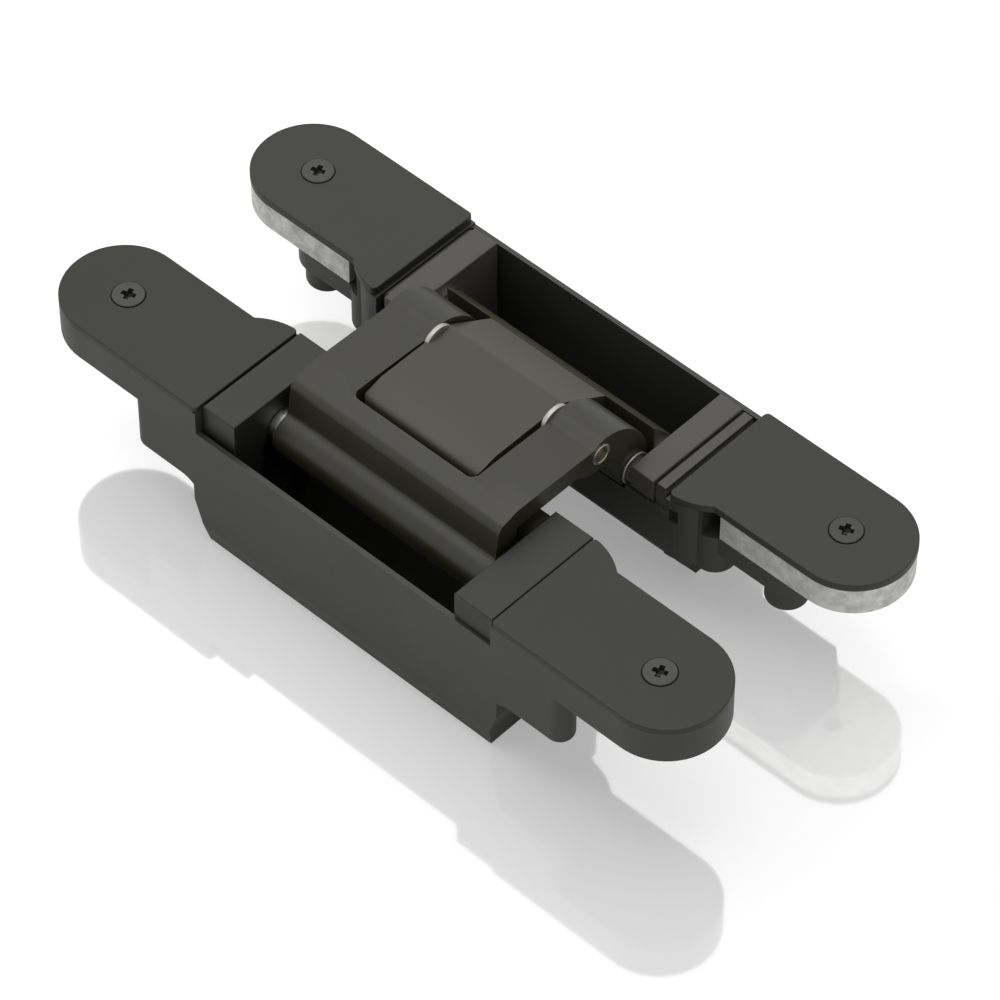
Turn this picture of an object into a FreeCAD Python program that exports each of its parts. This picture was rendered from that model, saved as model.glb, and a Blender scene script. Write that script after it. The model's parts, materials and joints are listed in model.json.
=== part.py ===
import FreeCAD, Part
import math
import os

# Concealed hinge with two mortice bodies, lying opened flat.
# All sizes are in millimetres. X runs along the hinge, Y from body A to body B, Z up.
# Z = 0 is the underside of the deep boxes.

os.makedirs("parts", exist_ok=True)
V = FreeCAD.Vector

# Driving sizes
length = 160.0
end_radius = 12.0
end_centre_y = 25.1
wide_inner_y = 9.9
pocket_half = 37.0
body_height_a = 36.0
drop_b = 4.38
side_room = 11.0
ear_width = 10.9

cover_thick_a = 1.4
cover_thick_b = 1.68
plate_total_a = 9.0
zinc_thick = 6.38
flange_thick_b = 4.26
post_radius = 4.2
post_y = 19.0
post_drop = 19.0
column_drop = 18.3

wall = 1.5
wall_out = 1.0
floor_thick = 1.7
rim_drop_a = 6.6
rim_drop_b = 2.4
inner_rim_drop_a = 11.4
inner_rim_drop_b = 6.1
sight_slope = 1.56
boss_end_r = 2.9
cove_r = 4.4
end_draft = 1.3
skirt_inset = 1.2
skirt_rise = 4.9

boss_b_radius = 2.65

front_y = -24.0
front_r = 4.2
hollow_r = 3.0
window_y = -17.5
tip_y = -16.4
corner_r = 1.8
tip_corner = 2.2
edge_round = 0.4
pin_small = 1.9
pin_slot = 2.4
pin_centre = 1.9
collar_radius = 2.2
collar_length = 3.0
collar_depth = 2.3
pin_bore = 1.85
washer_radius = 3.8
pin_clear = 0.06
slot_clear = 0.22
lobe_radius_u = 3.95
lobe_radius_t = 3.9
lobe_radius_t_far = 3.5
barrel_radius = 4.5
bush_radius = 3.5

screw_head_radius = 3.15
screw_shank_radius = 1.9

# Axes of the linkage in the section, opened flat (y, z below the cover of body A).
axis_a = (-12.0, -6.5)
axis_b = (12.8, -8.2)
axis_c = (3.8, 2.6)
slot_a = (-23.5, -7.9)
slot_b = (21.5, -11.5)
closed_gap = 7.0

# Derived sizes
ZA = body_height_a
ZB = body_height_a - drop_b
half_length = length / 2.0
end_x = half_length - end_radius
outer_y = end_centre_y + end_radius
inner_y = end_centre_y - end_radius
end_run = half_length - pocket_half
big = length

# Stations along the hinge, measured from the end of the pocket.
shoulder_x = pocket_half + 8.4
zinc_start = pocket_half + 9.8
post_x = pocket_half + 0.5 * end_run
boss_end_x = pocket_half + 0.4 * end_run
screw_x = half_length - 13.57
wall_end = pocket_half - 0.2
rim_half = pocket_half - 0.7
column_x = pocket_half + 6.5

# Widths of the two arms and of the guide blocks beside them.
arm_half = pocket_half - side_room
window_half = arm_half - ear_width
tongue_half = window_half - 0.5
block_a_inner = arm_half + 2.46
block_a_outer = pocket_half - 0.52
block_a_outer_right = pocket_half - 0.15
block_a_step = pocket_half - 1.8
block_b_inner_left = arm_half + 2.5
block_b_outer_left = pocket_half - 2.65
block_b_inner_right = arm_half + 1.75
block_b_outer_right = pocket_half - 3.76
boss_b_face = arm_half + 0.6

# Reach of the guide blocks across the pockets.
block_a_lip_y = outer_y - 0.6
block_a_near_y = wide_inner_y + 0.1
block_a_far_y = outer_y - 1.7
block_b_near_y = wide_inner_y + 0.1
block_b_far_y = outer_y - 2.5

# Depths below the covers that follow from the height of the body.
low_b = body_height_a - drop_b
inner_wall_low = body_height_a - 13.6
block_low_a = body_height_a - 5.0
ledge_drop_a = body_height_a - 12.0
boss_low_a = body_height_a - 14.5
ledge_b = low_b - 11.62


def turn(p, a):
    return (p[0] * math.cos(a) - p[1] * math.sin(a), p[0] * math.sin(a) + p[1] * math.cos(a))


def add(p, q):
    return (p[0] + q[0], p[1] + q[1])


def sub(p, q):
    return (p[0] - q[0], p[1] - q[1])


# Closed pose: body B turned by half a turn, its pivot above body A.
closed_b = (-axis_b[0], closed_gap - drop_b - axis_b[1])
arm_t = math.hypot(*sub(axis_c, axis_a))
arm_u = math.hypot(*sub(axis_c, axis_b))
span = math.hypot(*sub(closed_b, axis_a))
elbow = math.acos((arm_t ** 2 + span ** 2 - arm_u ** 2) / (2 * arm_t * span))
to_b = math.atan2(closed_b[1] - axis_a[1], closed_b[0] - axis_a[0])
closed_c = add(axis_a, (arm_t * math.cos(to_b + elbow), arm_t * math.sin(to_b + elbow)))
start_t = math.atan2(axis_c[1] - axis_a[1], axis_c[0] - axis_a[0])
start_u = math.atan2(axis_c[1] - axis_b[1], axis_c[0] - axis_b[0])
turn_t = math.atan2(closed_c[1] - axis_a[1], closed_c[0] - axis_a[0]) - start_t
turn_u = math.atan2(closed_c[1] - closed_b[1], closed_c[0] - closed_b[0]) - start_u
turn_u = turn_u % (2 * math.pi)
print("turn_t_deg", math.degrees(turn_t), "turn_u_deg", math.degrees(turn_u))


def path_a(t):
    """Slot pin of the U arm as seen from body A."""
    c = add(axis_a, turn(sub(axis_c, axis_a), turn_t * t))
    return add(c, turn(sub(slot_a, axis_c), turn_u * t))


def path_b(t):
    """Slot pin of the T arm as seen from body B."""
    c = add(axis_a, turn(sub(axis_c, axis_a), turn_t * t))
    b = add(c, turn(sub(axis_b, axis_c), turn_u * t))
    s = add(axis_a, turn(sub(slot_b, axis_a), turn_t * t))
    return add(axis_b, turn(sub(s, b), -math.pi * t))


# Small builders
def box(x0, x1, y0, y1, z0, z1):
    return Part.makeBox(x1 - x0, y1 - y0, z1 - z0, V(x0, y0, z0))


def rod_x(r, x0, x1, c, top=None):
    level = ZA if top is None else top
    return Part.makeCylinder(r, x1 - x0, V(x0, c[0], c[1] + level), V(1, 0, 0))


def ring_x(r_out, r_in, x0, x1, c):
    return rod_x(r_out, x0, x1, c).cut(rod_x(r_in, x0 - 1, x1 + 1, c))


def rod_z(r, x, y, z0, z1):
    return Part.makeCylinder(r, z1 - z0, V(x, y, z0))


def prism_x(points, x0, x1):
    """Section in y and z (z below the cover of body A), drawn along X."""
    pts = [V(x0, y, z + ZA) for y, z in points]
    face = Part.Face(Part.makePolygon(pts + [pts[0]]))
    return face.extrude(V(x1 - x0, 0, 0))


def prism_z(wire, z0, z1):
    face = Part.Face(wire)
    face.translate(V(0, 0, z0))
    return face.extrude(V(0, 0, z1 - z0))


def mirror_x(shape):
    return shape.mirror(V(0, 0, 0), V(1, 0, 0))


def mirror_y(shape):
    return shape.mirror(V(0, 0, 0), V(0, 1, 0))


def round_edges(shape, radius, test):
    edges = [e for e in shape.Edges if test(e)]
    if not edges:
        return shape
    return shape.makeFillet(radius, edges)


def arc_points(c, r, a0, a1, n):
    out = []
    for i in range(n + 1):
        a = math.radians(a0 + (a1 - a0) * i / n)
        out.append((c[0] + r * math.cos(a), c[1] + r * math.sin(a)))
    return out


def plan_wire(x_in, inset=0.0):
    """Outline of one end seen from above, for x > 0 and y > 0."""
    r = end_radius - inset
    yo = outer_y - inset
    yi = inner_y + inset
    a = V(x_in, yo, 0)
    b = V(end_x, yo, 0)
    tip = V(end_x + r, end_centre_y, 0)
    c = V(end_x, yi, 0)
    lines = [Part.makeLine(a, b), Part.Arc(b, tip, c).toShape()]
    if x_in < shoulder_x:
        d = V(shoulder_x, yi, 0)
        e = V(pocket_half + 4.5, wide_inner_y + 0.9 + inset, 0)
        f = V(max(x_in, pocket_half), wide_inner_y + inset, 0)
        lines.append(Part.makeLine(c, d))
        lines.append(Part.Arc(d, e, f).toShape())
        last = f
        if x_in < pocket_half:
            g = V(x_in, wide_inner_y + inset, 0)
            lines.append(Part.makeLine(f, g))
            last = g
        lines.append(Part.makeLine(last, a))
    else:
        d = V(x_in, yi, 0)
        lines.append(Part.makeLine(c, d))
        lines.append(Part.makeLine(d, a))
    return Part.Wire(lines)


def slot_prism(path, r, x0, x1):
    """Curved slot that follows a pin along its path."""
    n = 18
    pts = [path(i / n) for i in range(n + 1)]
    left = []
    right = []
    for i in range(n + 1):
        p = pts[max(i - 1, 0)]
        q = pts[min(i + 1, n)]
        d = sub(q, p)
        m = math.hypot(*d)
        nrm = (-d[1] / m * r, d[0] / m * r)
        left.append(add(pts[i], nrm))
        right.append(sub(pts[i], nrm))
    poly = left + right[::-1]
    body = prism_x(poly, x0, x1)
    body = body.fuse(rod_x(r, x0, x1, pts[0]))
    body = body.fuse(rod_x(r, x0, x1, pts[-1]))
    return body.removeSplitter()


def save(name, shape):
    if shape.ShapeType == "Compound" and len(shape.Solids) == 1:
        shape = shape.Solids[0]
    print(name, "solids", len(shape.Solids), "valid", shape.isValid(), round(shape.Volume, 1))
    shape.exportStep("parts/" + name + ".step")


# Covers
def make_cover(top, thick):
    c = prism_z(plan_wire(pocket_half), top - thick, top)
    c = round_edges(c, 1.0, lambda e: abs(e.BoundBox.XLength) < 1e-6 and abs(e.BoundBox.YLength) < 1e-6
                    and abs(e.BoundBox.XMax - pocket_half) < 0.01)
    c = round_edges(c, 0.28, lambda e: abs(e.BoundBox.ZMin - top) < 1e-6)
    c = c.cut(rod_z(screw_shank_radius + 0.15, screw_x, end_centre_y, top - thick - 1, top + 1))
    sink = Part.makeCone(screw_shank_radius + 0.15, screw_head_radius + 0.25, 1.15,
                         V(screw_x, end_centre_y, top - 1.15))
    return c.cut(sink)


cover_b_right = make_cover(ZB, cover_thick_b)
cover_b_left = mirror_x(cover_b_right)
cover_a_right = mirror_y(make_cover(ZA, cover_thick_a))
cover_a_left = mirror_x(cover_a_right)


def make_screw(top, reach):
    """Countersunk head standing a little proud, with a cross recess."""
    head = Part.makeCone(screw_shank_radius, screw_head_radius, 1.05, V(0, 0, top - 1.1))
    rim = Part.makeCylinder(screw_head_radius, 0.3, V(0, 0, top - 0.05))
    rim = round_edges(rim, 0.16, lambda e: abs(e.BoundBox.ZMin - (top + 0.25)) < 1e-6)
    shank = Part.makeCylinder(screw_shank_radius, reach, V(0, 0, top - 1.0 - reach))
    s = head.fuse(rim).fuse(shank)
    for a in (0.0, 90.0):
        slot = Part.makeBox(3.1, 0.78, 1.3, V(-1.55, -0.39, top - 0.95))
        slot.rotate(V(0, 0, 0), V(0, 0, 1), a + 20.0)
        s = s.cut(slot)
    s = s.cut(Part.makeCone(0.2, 0.95, 1.3, V(0, 0, top - 1.0)))
    return s.removeSplitter()


def screw_pair(top, y, reach):
    s = make_screw(top, reach)
    one = s.copy()
    one.translate(V(-screw_x, y, 0))
    two = s.copy()
    two.translate(V(screw_x, y, 0))
    return Part.makeCompound([one, two])


cover_screws_a = screw_pair(ZA, -end_centre_y, 4.6)
cover_screws_b = screw_pair(ZB, end_centre_y, 5.0)


# Deep box, built for y > 0 below its cover level
def section_z(points, x0, x1, level):
    pts = [V(x0, y, z + level) for y, z in points]
    face = Part.Face(Part.makePolygon(pts + [pts[0]]))
    return face.extrude(V(x1 - x0, 0, 0))


def box_section(rim_in, low, wall_low):
    """Outer section of a deep box: tall outer wall, short inner wall, sloping floor."""
    deep_y = wide_inner_y + (low - wall_low) / sight_slope
    return [
        (wide_inner_y, -rim_in), (wide_inner_y, -wall_low + 2.0),
        (wide_inner_y + 1.6, -wall_low - 1.2), (deep_y + 1.2, -low),
        (outer_y - skirt_inset, -low), (outer_y, -low + skirt_rise), (outer_y, -rim_in),
    ]


def deep_box(level, rim_out, rim_in, low, wall_low, ledge):
    half = pocket_half + 0.2
    section = box_section(rim_in, low, wall_low)
    solid = section_z(section, -half, half, level)
    high = box(-half, half, outer_y - wall_out - 0.4, outer_y, level - rim_in - 0.5, level - rim_out)
    # The upper part is a little longer, to leave a ledge for the blocks.
    upper = section_z(section, -half - 1.2, half + 1.2, level)
    upper = upper.common(box(-big, big, 0, big, level - ledge - 1.6, level))
    upper = upper.cut(box(-half, half, outer_y - 20.0, outer_y + 1, level - rim_in - 2, level + 1))
    solid = solid.fuse([high, upper])
    # Draft on the two end faces of the deep part.
    for side in (1, -1):
        pts = [V(half, 0, level - ledge - 1.6), V(half + 3, 0, level - ledge - 1.6),
               V(half + 3, 0, -1), V(half - end_draft, 0, -1)]
        face = Part.Face(Part.makePolygon(pts + [pts[0]]))
        wedge = face.extrude(V(0, big, 0))
        solid = solid.cut(wedge if side > 0 else mirror_x(wedge))
    return solid


def slope_y(depth, low, wall_low):
    """Inner side of the sloping wall at a depth below the cover."""
    start = wide_inner_y + wall + 1.3
    share = (depth - wall_low - 0.3) / (low - wall_low - 2.0)
    return start + ((low - wall_low) / sight_slope - 0.9) * share


def pocket_cut(level, low, wall_low, half_top, half_low, ledge):
    floor = low - floor_thick
    inner = [
        (wide_inner_y + wall, 1.0), (wide_inner_y + wall, -wall_low + 2.2),
        (wide_inner_y + wall + 1.3, -wall_low - 0.3), (slope_y(floor, low, wall_low), -floor),
        (outer_y - wall_out - 0.5, -floor), (outer_y - wall_out, -floor + skirt_rise),
        (outer_y - wall_out, 1.0),
    ]
    narrow = section_z(inner, -half_low, half_low, level)
    wide = section_z(inner, -half_top, half_top, level)
    keep = box(-half_top - 1, half_top + 1, 0, big, level - ledge, level + 5)
    return narrow.fuse(wide.common(keep))


# Body A
box_a = deep_box(ZA, rim_drop_a, inner_rim_drop_a, body_height_a, inner_wall_low, ledge_drop_a)
plate_a = prism_z(plan_wire(pocket_half - 0.05), ZA - plate_total_a, ZA - cover_thick_a)
plate_a = round_edges(plate_a, 0.5, lambda e: abs(e.BoundBox.ZMax - (ZA - plate_total_a)) < 1e-6
                      and e.BoundBox.XMax > pocket_half + 0.5)
# Boss under each end plate: a rib with a round end, flush with the outer wall.
boss_in = outer_y - 2 * boss_end_r
boss_cx = boss_end_x - boss_end_r
boss_wire = Part.Wire([
    Part.makeLine(V(wall_end, outer_y, 0), V(boss_cx, outer_y, 0)),
    Part.Arc(V(boss_cx, outer_y, 0), V(boss_end_x, outer_y - boss_end_r, 0), V(boss_cx, boss_in, 0)).toShape(),
    Part.makeLine(V(boss_cx, boss_in, 0), V(wall_end, boss_in, 0)),
    Part.makeLine(V(wall_end, boss_in, 0), V(wall_end, outer_y, 0))])
boss_a = prism_z(boss_wire, ZA - boss_low_a - cove_r, ZA - plate_total_a + 0.5)
low_cut = box(pocket_half + 1.0, big, 0, big, ZA - boss_low_a - cove_r - 1, ZA - boss_low_a)
cove_x = pocket_half + 0.25
fill = box(pocket_half - 1.0, cove_x + cove_r, 0, big, ZA - boss_low_a - cove_r, ZA - boss_low_a + 0.01)
fill = fill.cut(Part.makeCylinder(cove_r, big + 20.0, V(cove_x + cove_r, -10, ZA - boss_low_a - cove_r),
                                  V(0, 1, 0)))
boss_a = boss_a.cut(low_cut.cut(fill))
boss_a = round_edges(boss_a, 1.3, lambda e: abs(e.BoundBox.ZMax - (ZA - boss_low_a)) < 1e-6
                     and e.BoundBox.XMax > boss_cx + 0.5)
rib_a = box(wall_end, pocket_half + 9.0, end_centre_y - 8.1, boss_in + 0.5, ZA - 15.0,
            ZA - plate_total_a + 0.5)
end_a = plate_a.fuse([boss_a, rib_a])
housing = box_a.fuse([end_a, mirror_x(end_a)])
housing = housing.cut(pocket_cut(ZA, body_height_a, inner_wall_low, pocket_half - 0.02,
                                 block_a_step + 0.12, ledge_drop_a))
# The inner wall stays below the arm and clear of the pivot lobes of the blocks.
housing = housing.cut(box(-rim_half, rim_half, wide_inner_y - 1, wide_inner_y + wall + 0.5,
                          ZA - inner_rim_drop_a, ZA + 1))
housing = mirror_y(housing)
for side in (-1, 1):
    housing = housing.cut(rod_z(screw_shank_radius + 0.02, side * screw_x, -end_centre_y,
                                ZA - 6.6, ZA + 1))
housing_a = housing.removeSplitter()


def block_section(near, far, low, step, box_low, wall_low):
    """Section of a guide block, y > 0, following the sloping floor."""
    return [
        (near, 0.0), (near, -step), (wide_inner_y + wall + 0.15, -step - 0.7),
        (wide_inner_y + wall + 0.15, -wall_low + 2.6), (wide_inner_y + wall + 1.6, -wall_low),
        (slope_y(low, box_low, wall_low) + 0.3, -low), (far, -low), (far, 0.0),
    ]


def make_block_a(outer, lip):
    sec = block_section(block_a_near_y, block_a_far_y, block_low_a, inner_rim_drop_a - 0.9,
                        body_height_a, inner_wall_low)
    full = section_z(sec, block_a_inner, outer, ZA)
    if lip:
        full = full.fuse(box(block_a_inner, outer, block_a_far_y - 1, block_a_lip_y,
                             ZA - rim_drop_a + 0.25, ZA)).removeSplitter()
    notch = box(block_a_step, outer + 1, 0, big, ZA - block_low_a - 1, ZA - ledge_drop_a)
    b = full.cut(notch)
    b = round_edges(b, 0.35, lambda e: abs(e.BoundBox.ZMin - ZA) < 1e-6)
    b = mirror_y(b)
    b = b.fuse(rod_x(3.3, block_a_inner, outer, axis_a)).removeSplitter()
    b = b.cut(rod_x(pin_small + pin_clear, 0, big, axis_a))
    return b.cut(slot_prism(path_a, pin_slot + slot_clear, block_a_inner - 1, outer + 1))


block_a_right = make_block_a(block_a_outer_right, True)
block_a_left = mirror_x(make_block_a(block_a_outer, False))

# Body B
wall_low_b = inner_wall_low - drop_b
box_b = deep_box(ZB, rim_drop_b, inner_rim_drop_b, low_b, wall_low_b, ledge_b)
# Column at each end of the box, below the covers.
col_top = ZB - cover_thick_b - 0.3
col_in = pocket_half - 0.5
col_wire = Part.Wire([
    Part.makeLine(V(col_in, outer_y, 0), V(column_x, outer_y, 0)),
    Part.makeLine(V(column_x, outer_y, 0), V(column_x, inner_y - 0.3, 0)),
    Part.Arc(V(column_x, inner_y - 0.3, 0), V(column_x - 2.5, wide_inner_y + 1.0, 0),
             V(col_in, wide_inner_y, 0)).toShape(),
    Part.makeLine(V(col_in, wide_inner_y, 0), V(col_in, outer_y, 0))])
column = prism_z(col_wire, ZB - column_drop + 1.2, col_top)
column = column.cut(box(col_in - 0.5, column_x + 0.5, end_centre_y - 3.1, big, 0, ZB - 12.0))
bump = rod_z(4.4, column_x - 0.2, 16.3, ZB - column_drop, ZB - 7.0)
bump = round_edges(bump, 1.2, lambda e: abs(e.BoundBox.ZMax - (ZB - column_drop)) < 1e-6)
flange_top = ZB - cover_thick_b - zinc_thick
bump = bump.cut(box(column_x, big, 0, big, flange_top, ZB + 1))
flange_y = inner_y + 0.15
tip_r = post_y - flange_y
tip_x = post_x - 0.5
flange_in = pocket_half + 3.0
flange_far = outer_y - 0.2
flange_wire = Part.Wire([
    Part.makeLine(V(flange_in, flange_y, 0), V(tip_x, flange_y, 0)),
    Part.Arc(V(tip_x, flange_y, 0), V(tip_x + tip_r * 0.8, post_y - tip_r * 0.6, 0),
             V(tip_x + tip_r, post_y, 0)).toShape(),
    Part.makeLine(V(tip_x + tip_r, post_y, 0), V(tip_x + tip_r, post_y + 11.0, 0)),
    Part.makeLine(V(tip_x + tip_r, post_y + 11.0, 0), V(post_x - 1.5, flange_far, 0)),
    Part.makeLine(V(post_x - 1.5, flange_far, 0), V(flange_in, flange_far, 0)),
    Part.makeLine(V(flange_in, flange_far, 0), V(flange_in, flange_y, 0))])
flange = prism_z(flange_wire, flange_top - flange_thick_b, flange_top)
post = rod_z(post_radius, post_x, post_y, ZB - post_drop, flange_top - 0.5)
post = round_edges(post, 0.8, lambda e: abs(e.BoundBox.ZMax - (ZB - post_drop)) < 1e-6)
end_b = column.fuse([bump, flange, post])
housing = box_b.fuse([end_b, mirror_x(end_b)])
housing = housing.cut(pocket_cut(ZB, low_b, wall_low_b, rim_half, block_a_step + 0.12, ledge_b))
housing = housing.cut(box(-rim_half, rim_half, wide_inner_y - 1, wide_inner_y + wall + 0.4,
                          ZB - inner_rim_drop_b, ZB + 1))
# Scallops in the inner wall where the lobes of the U arm turn.
for x0, x1 in ((-boss_b_face, -window_half + 0.4), (window_half - 0.4, boss_b_face)):
    housing = housing.cut(rod_x(lobe_radius_u + 0.4, x0, x1, axis_b))
for side in (-1, 1):
    housing = housing.cut(rod_z(2.1, side * (post_x - 7.0), end_centre_y, flange_top - 10, flange_top + 1))
housing_b = housing.removeSplitter()


def make_block_b(x_in, x_out):
    sec = block_section(block_b_near_y, block_b_far_y, low_b - floor_thick, inner_rim_drop_b - 0.9,
                        low_b, wall_low_b)
    b = section_z(sec, x_in, x_out, ZB)
    b = round_edges(b, 0.35, lambda e: abs(e.BoundBox.ZMin - ZB) < 1e-6)
    b = b.fuse(rod_x(boss_b_radius, boss_b_face, x_out, axis_b)).removeSplitter()
    b = b.cut(rod_x(pin_small + pin_clear, 0, big, axis_b))
    return b.cut(slot_prism(path_b, pin_slot + slot_clear, x_in - 1, x_out + 1))


block_b_right = make_block_b(block_b_inner_right, block_b_outer_right)
block_b_left = mirror_x(make_block_b(block_b_inner_left, block_b_outer_left))


def make_strip(sign, x_in, x_out, drop, far):
    s = box(x_in, x_out, wide_inner_y + wall + 0.2, far, ZB - ledge_b + 4.0, ZB - drop)
    s = round_edges(s, 0.55, lambda e: abs(e.BoundBox.ZMin - (ZB - drop)) < 1e-6
                    and abs(e.BoundBox.YLength) > 5)
    return s if sign > 0 else mirror_x(s)


strip_b_left = make_strip(-1, block_b_outer_left + 0.1, pocket_half - 1.0, 2.2, block_b_far_y - 0.4)
strip_b_right = make_strip(1, block_b_outer_right + 0.25, pocket_half - 0.85, 0.45, block_b_far_y - 2.1)


def make_zinc():
    z = prism_z(plan_wire(zinc_start, 0.15), flange_top, ZB - cover_thick_b)
    z = round_edges(z, 0.3, lambda e: abs(e.BoundBox.ZMax - flange_top) < 1e-6
                    or abs(e.BoundBox.ZMin - (ZB - cover_thick_b)) < 1e-6)
    return z.cut(rod_z(screw_shank_radius + 0.02, screw_x, end_centre_y, flange_top - 1, ZB))


zinc_right = make_zinc()
zinc_left = mirror_x(zinc_right)

# U arm
crest = [
    (1.4, 4.95), (2.4, 5.2), (3.4, 5.72), (4.3, 5.92), (5.6, 5.9), (7.1, 5.62), (8.5, 5.15),
    (10.3, 4.2), (11.9, 2.95), (13.5, 1.3), (14.8, -0.5), (15.8, -2.6), (16.3, -4.8),
]
lobe_u = arc_points(axis_b, lobe_radius_u, 25, -185, 14)
leg = [(window_y - 3.0, 5.55), (-12.0, 5.35)] + crest + lobe_u + [
    (8.2, -4.4), (6.4, -1.9), (4.2, -1.3), (2.0, -1.2), (-0.4, -0.4), (-2.4, 1.0), (window_y - 3.0, 1.0)]
leg_solid = prism_x(leg, window_half, arm_half)
leg_solid = round_edges(leg_solid, edge_round, lambda e: abs(e.BoundBox.XMin - arm_half) < 1e-6
                        and e.BoundBox.XLength < 1e-6 and e.BoundBox.ZMin > ZA - 2.0
                        and e.BoundBox.YMin > window_y - 1.5 and e.BoundBox.ZMax > ZA + 1.5)
front = arc_points((front_y + front_r, 5.5 - front_r), front_r, 92, 180, 12)
# A hollow leads smoothly from the front face on to the barrel.
reach_y = slot_a[0] - (front_y - hollow_r)
hollow_z = slot_a[1] + math.sqrt((hollow_r + barrel_radius) ** 2 - reach_y ** 2)
hollow_end = math.degrees(math.atan2(slot_a[1] - hollow_z, reach_y))
hollow = arc_points((front_y - hollow_r, hollow_z), hollow_r, 0, hollow_end, 10)
bar = [(window_y, 5.5)] + front + hollow
bar = bar + arc_points(slot_a, barrel_radius, hollow_end + 180, 372, 30)[1:]
bar = bar + [(window_y - 1.0, -2.0), (window_y, 1.0)]
bar_solid = prism_x(bar, -arm_half, arm_half)
u = bar_solid.fuse([leg_solid, mirror_x(leg_solid)]).removeSplitter()
# Rounded corners of the window.
for side in (-1, 1):
    x0 = side * window_half - (corner_r if side > 0 else 0)
    u = u.fuse(box(x0, x0 + corner_r, window_y - 0.01, window_y + corner_r, ZA + 1.0, ZA + 5.3))
for side in (-1, 1):
    u = u.cut(Part.makeCylinder(corner_r, 8.0, V(side * (window_half - corner_r), window_y + corner_r, ZA)))
u = u.removeSplitter()
u = u.cut(rod_x(pin_centre + pin_clear, -big, big, axis_c))
pin_end = arm_half + 0.27
collar_start = pin_end - collar_length
for x0, x1 in ((-big, 0.05 - collar_start), (collar_start - 0.05, big)):
    u = u.cut(rod_x(collar_radius + pin_clear, x0, x1, axis_c))
u = u.cut(rod_x(pin_small + pin_clear, -big, big, axis_b))
u_arm = u.cut(rod_x(pin_slot + pin_clear, -big, big, slot_a))

# T arm
heel = arc_points((tip_y + 3.0, 1.9), 3.0, 90, 180, 7)
tongue = heel + [(tip_y + 0.1, -4.0)] + arc_points(axis_a, lobe_radius_t, 170, 300, 9) + [
    (-5.6, -6.6), (-2.0, -3.2), (1.2, -1.7), (5.0, -1.6), (8.0, -3.0), (11.2, -5.0), (14.6, -5.6),
    (17.6, -6.3), (19.3, -8.0), (19.5, -3.8), (18.9, -2.8), (17.3, -1.7), (15.2, -0.1), (12.6, 1.9),
    (9.8, 3.7), (7.6, 4.75), (6.2, 5.0)]
tongue_solid = prism_x(tongue, -tongue_half, tongue_half)
# Round corners of the tongue seen from above.
tip_pts = [(tongue_half, 30.0), (tongue_half, tip_y + tip_corner)]
tip_pts += arc_points((tongue_half - tip_corner, tip_y + tip_corner), tip_corner, 0, -90, 8)[1:]
tip_pts += [(-x, y) for x, y in tip_pts[::-1]]
tip_wire = Part.makePolygon([V(x, y, 0) for x, y in tip_pts + [tip_pts[0]]])
tongue_solid = tongue_solid.common(prism_z(tip_wire, ZA - 20.0, ZA + 10.0))
wing = [(18.35, -2.35), (18.9, -2.8)]
wing = wing + arc_points(slot_b, lobe_radius_t_far, 35, -180, 12) + [(18.35, -9.5)]
wing_solid = prism_x(wing, -arm_half, arm_half)
t = tongue_solid.fuse([wing_solid, rod_x(lobe_radius_t, -arm_half, arm_half, axis_a)])
t = t.removeSplitter()
# Recesses for the washers beside the tongue.
for x0, x1 in ((-big, -tongue_half + 0.5), (tongue_half - 0.5, big)):
    t = t.cut(rod_x(washer_radius + 0.15, x0, x1, axis_c))
t = t.cut(rod_x(pin_centre + pin_clear, -big, big, axis_c))
t = t.cut(rod_x(pin_small + pin_clear, -big, big, axis_a))
t_arm = t.cut(rod_x(pin_slot + pin_clear, -big, big, slot_b))


# Pins, bushes and washers
def hollow_pin(r, reach, c, bore, depth):
    p = rod_x(r, -reach, reach, c)
    p = round_edges(p, 0.3, lambda e: e.BoundBox.XLength < 1e-6)
    for x0, x1 in ((-reach - 1, -reach + depth), (reach - depth, reach + 1)):
        p = p.cut(rod_x(bore, x0, x1, c))
    return p


centre_pin = rod_x(pin_centre, -pin_end + 0.2, pin_end - 0.2, axis_c)
for x0 in (-pin_end, collar_start):
    collar = rod_x(collar_radius, x0, x0 + collar_length, axis_c)
    collar = round_edges(collar, 0.12, lambda e: e.BoundBox.XLength < 1e-6
                         and abs(abs(e.BoundBox.XMin) - pin_end) < 1e-6)
    centre_pin = centre_pin.fuse(collar)
for x0, x1 in ((-pin_end - 1, -pin_end + collar_depth), (pin_end - collar_depth, pin_end + 1)):
    centre_pin = centre_pin.cut(rod_x(pin_bore, x0, x1, axis_c))
centre_pin = centre_pin.removeSplitter()
pivot_pin_a = hollow_pin(pin_small, block_a_outer - 0.1, axis_a, 0.6, 1.0)
pivot_pin_b = rod_x(pin_small, -block_b_outer_left + 0.1, block_b_outer_right - 0.1, axis_b)
slot_pin_a = hollow_pin(pin_slot, block_a_step - 0.3, slot_a, 0.7, 1.0)
slot_pin_b = rod_x(pin_slot, -block_b_outer_left + 0.3, block_b_outer_right - 0.3, slot_b)


def ring_pair(r_out, r_in, x0, x1, c):
    one = ring_x(r_out, r_in, x0, x1, c)
    return Part.makeCompound([one, mirror_x(one)])


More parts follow.
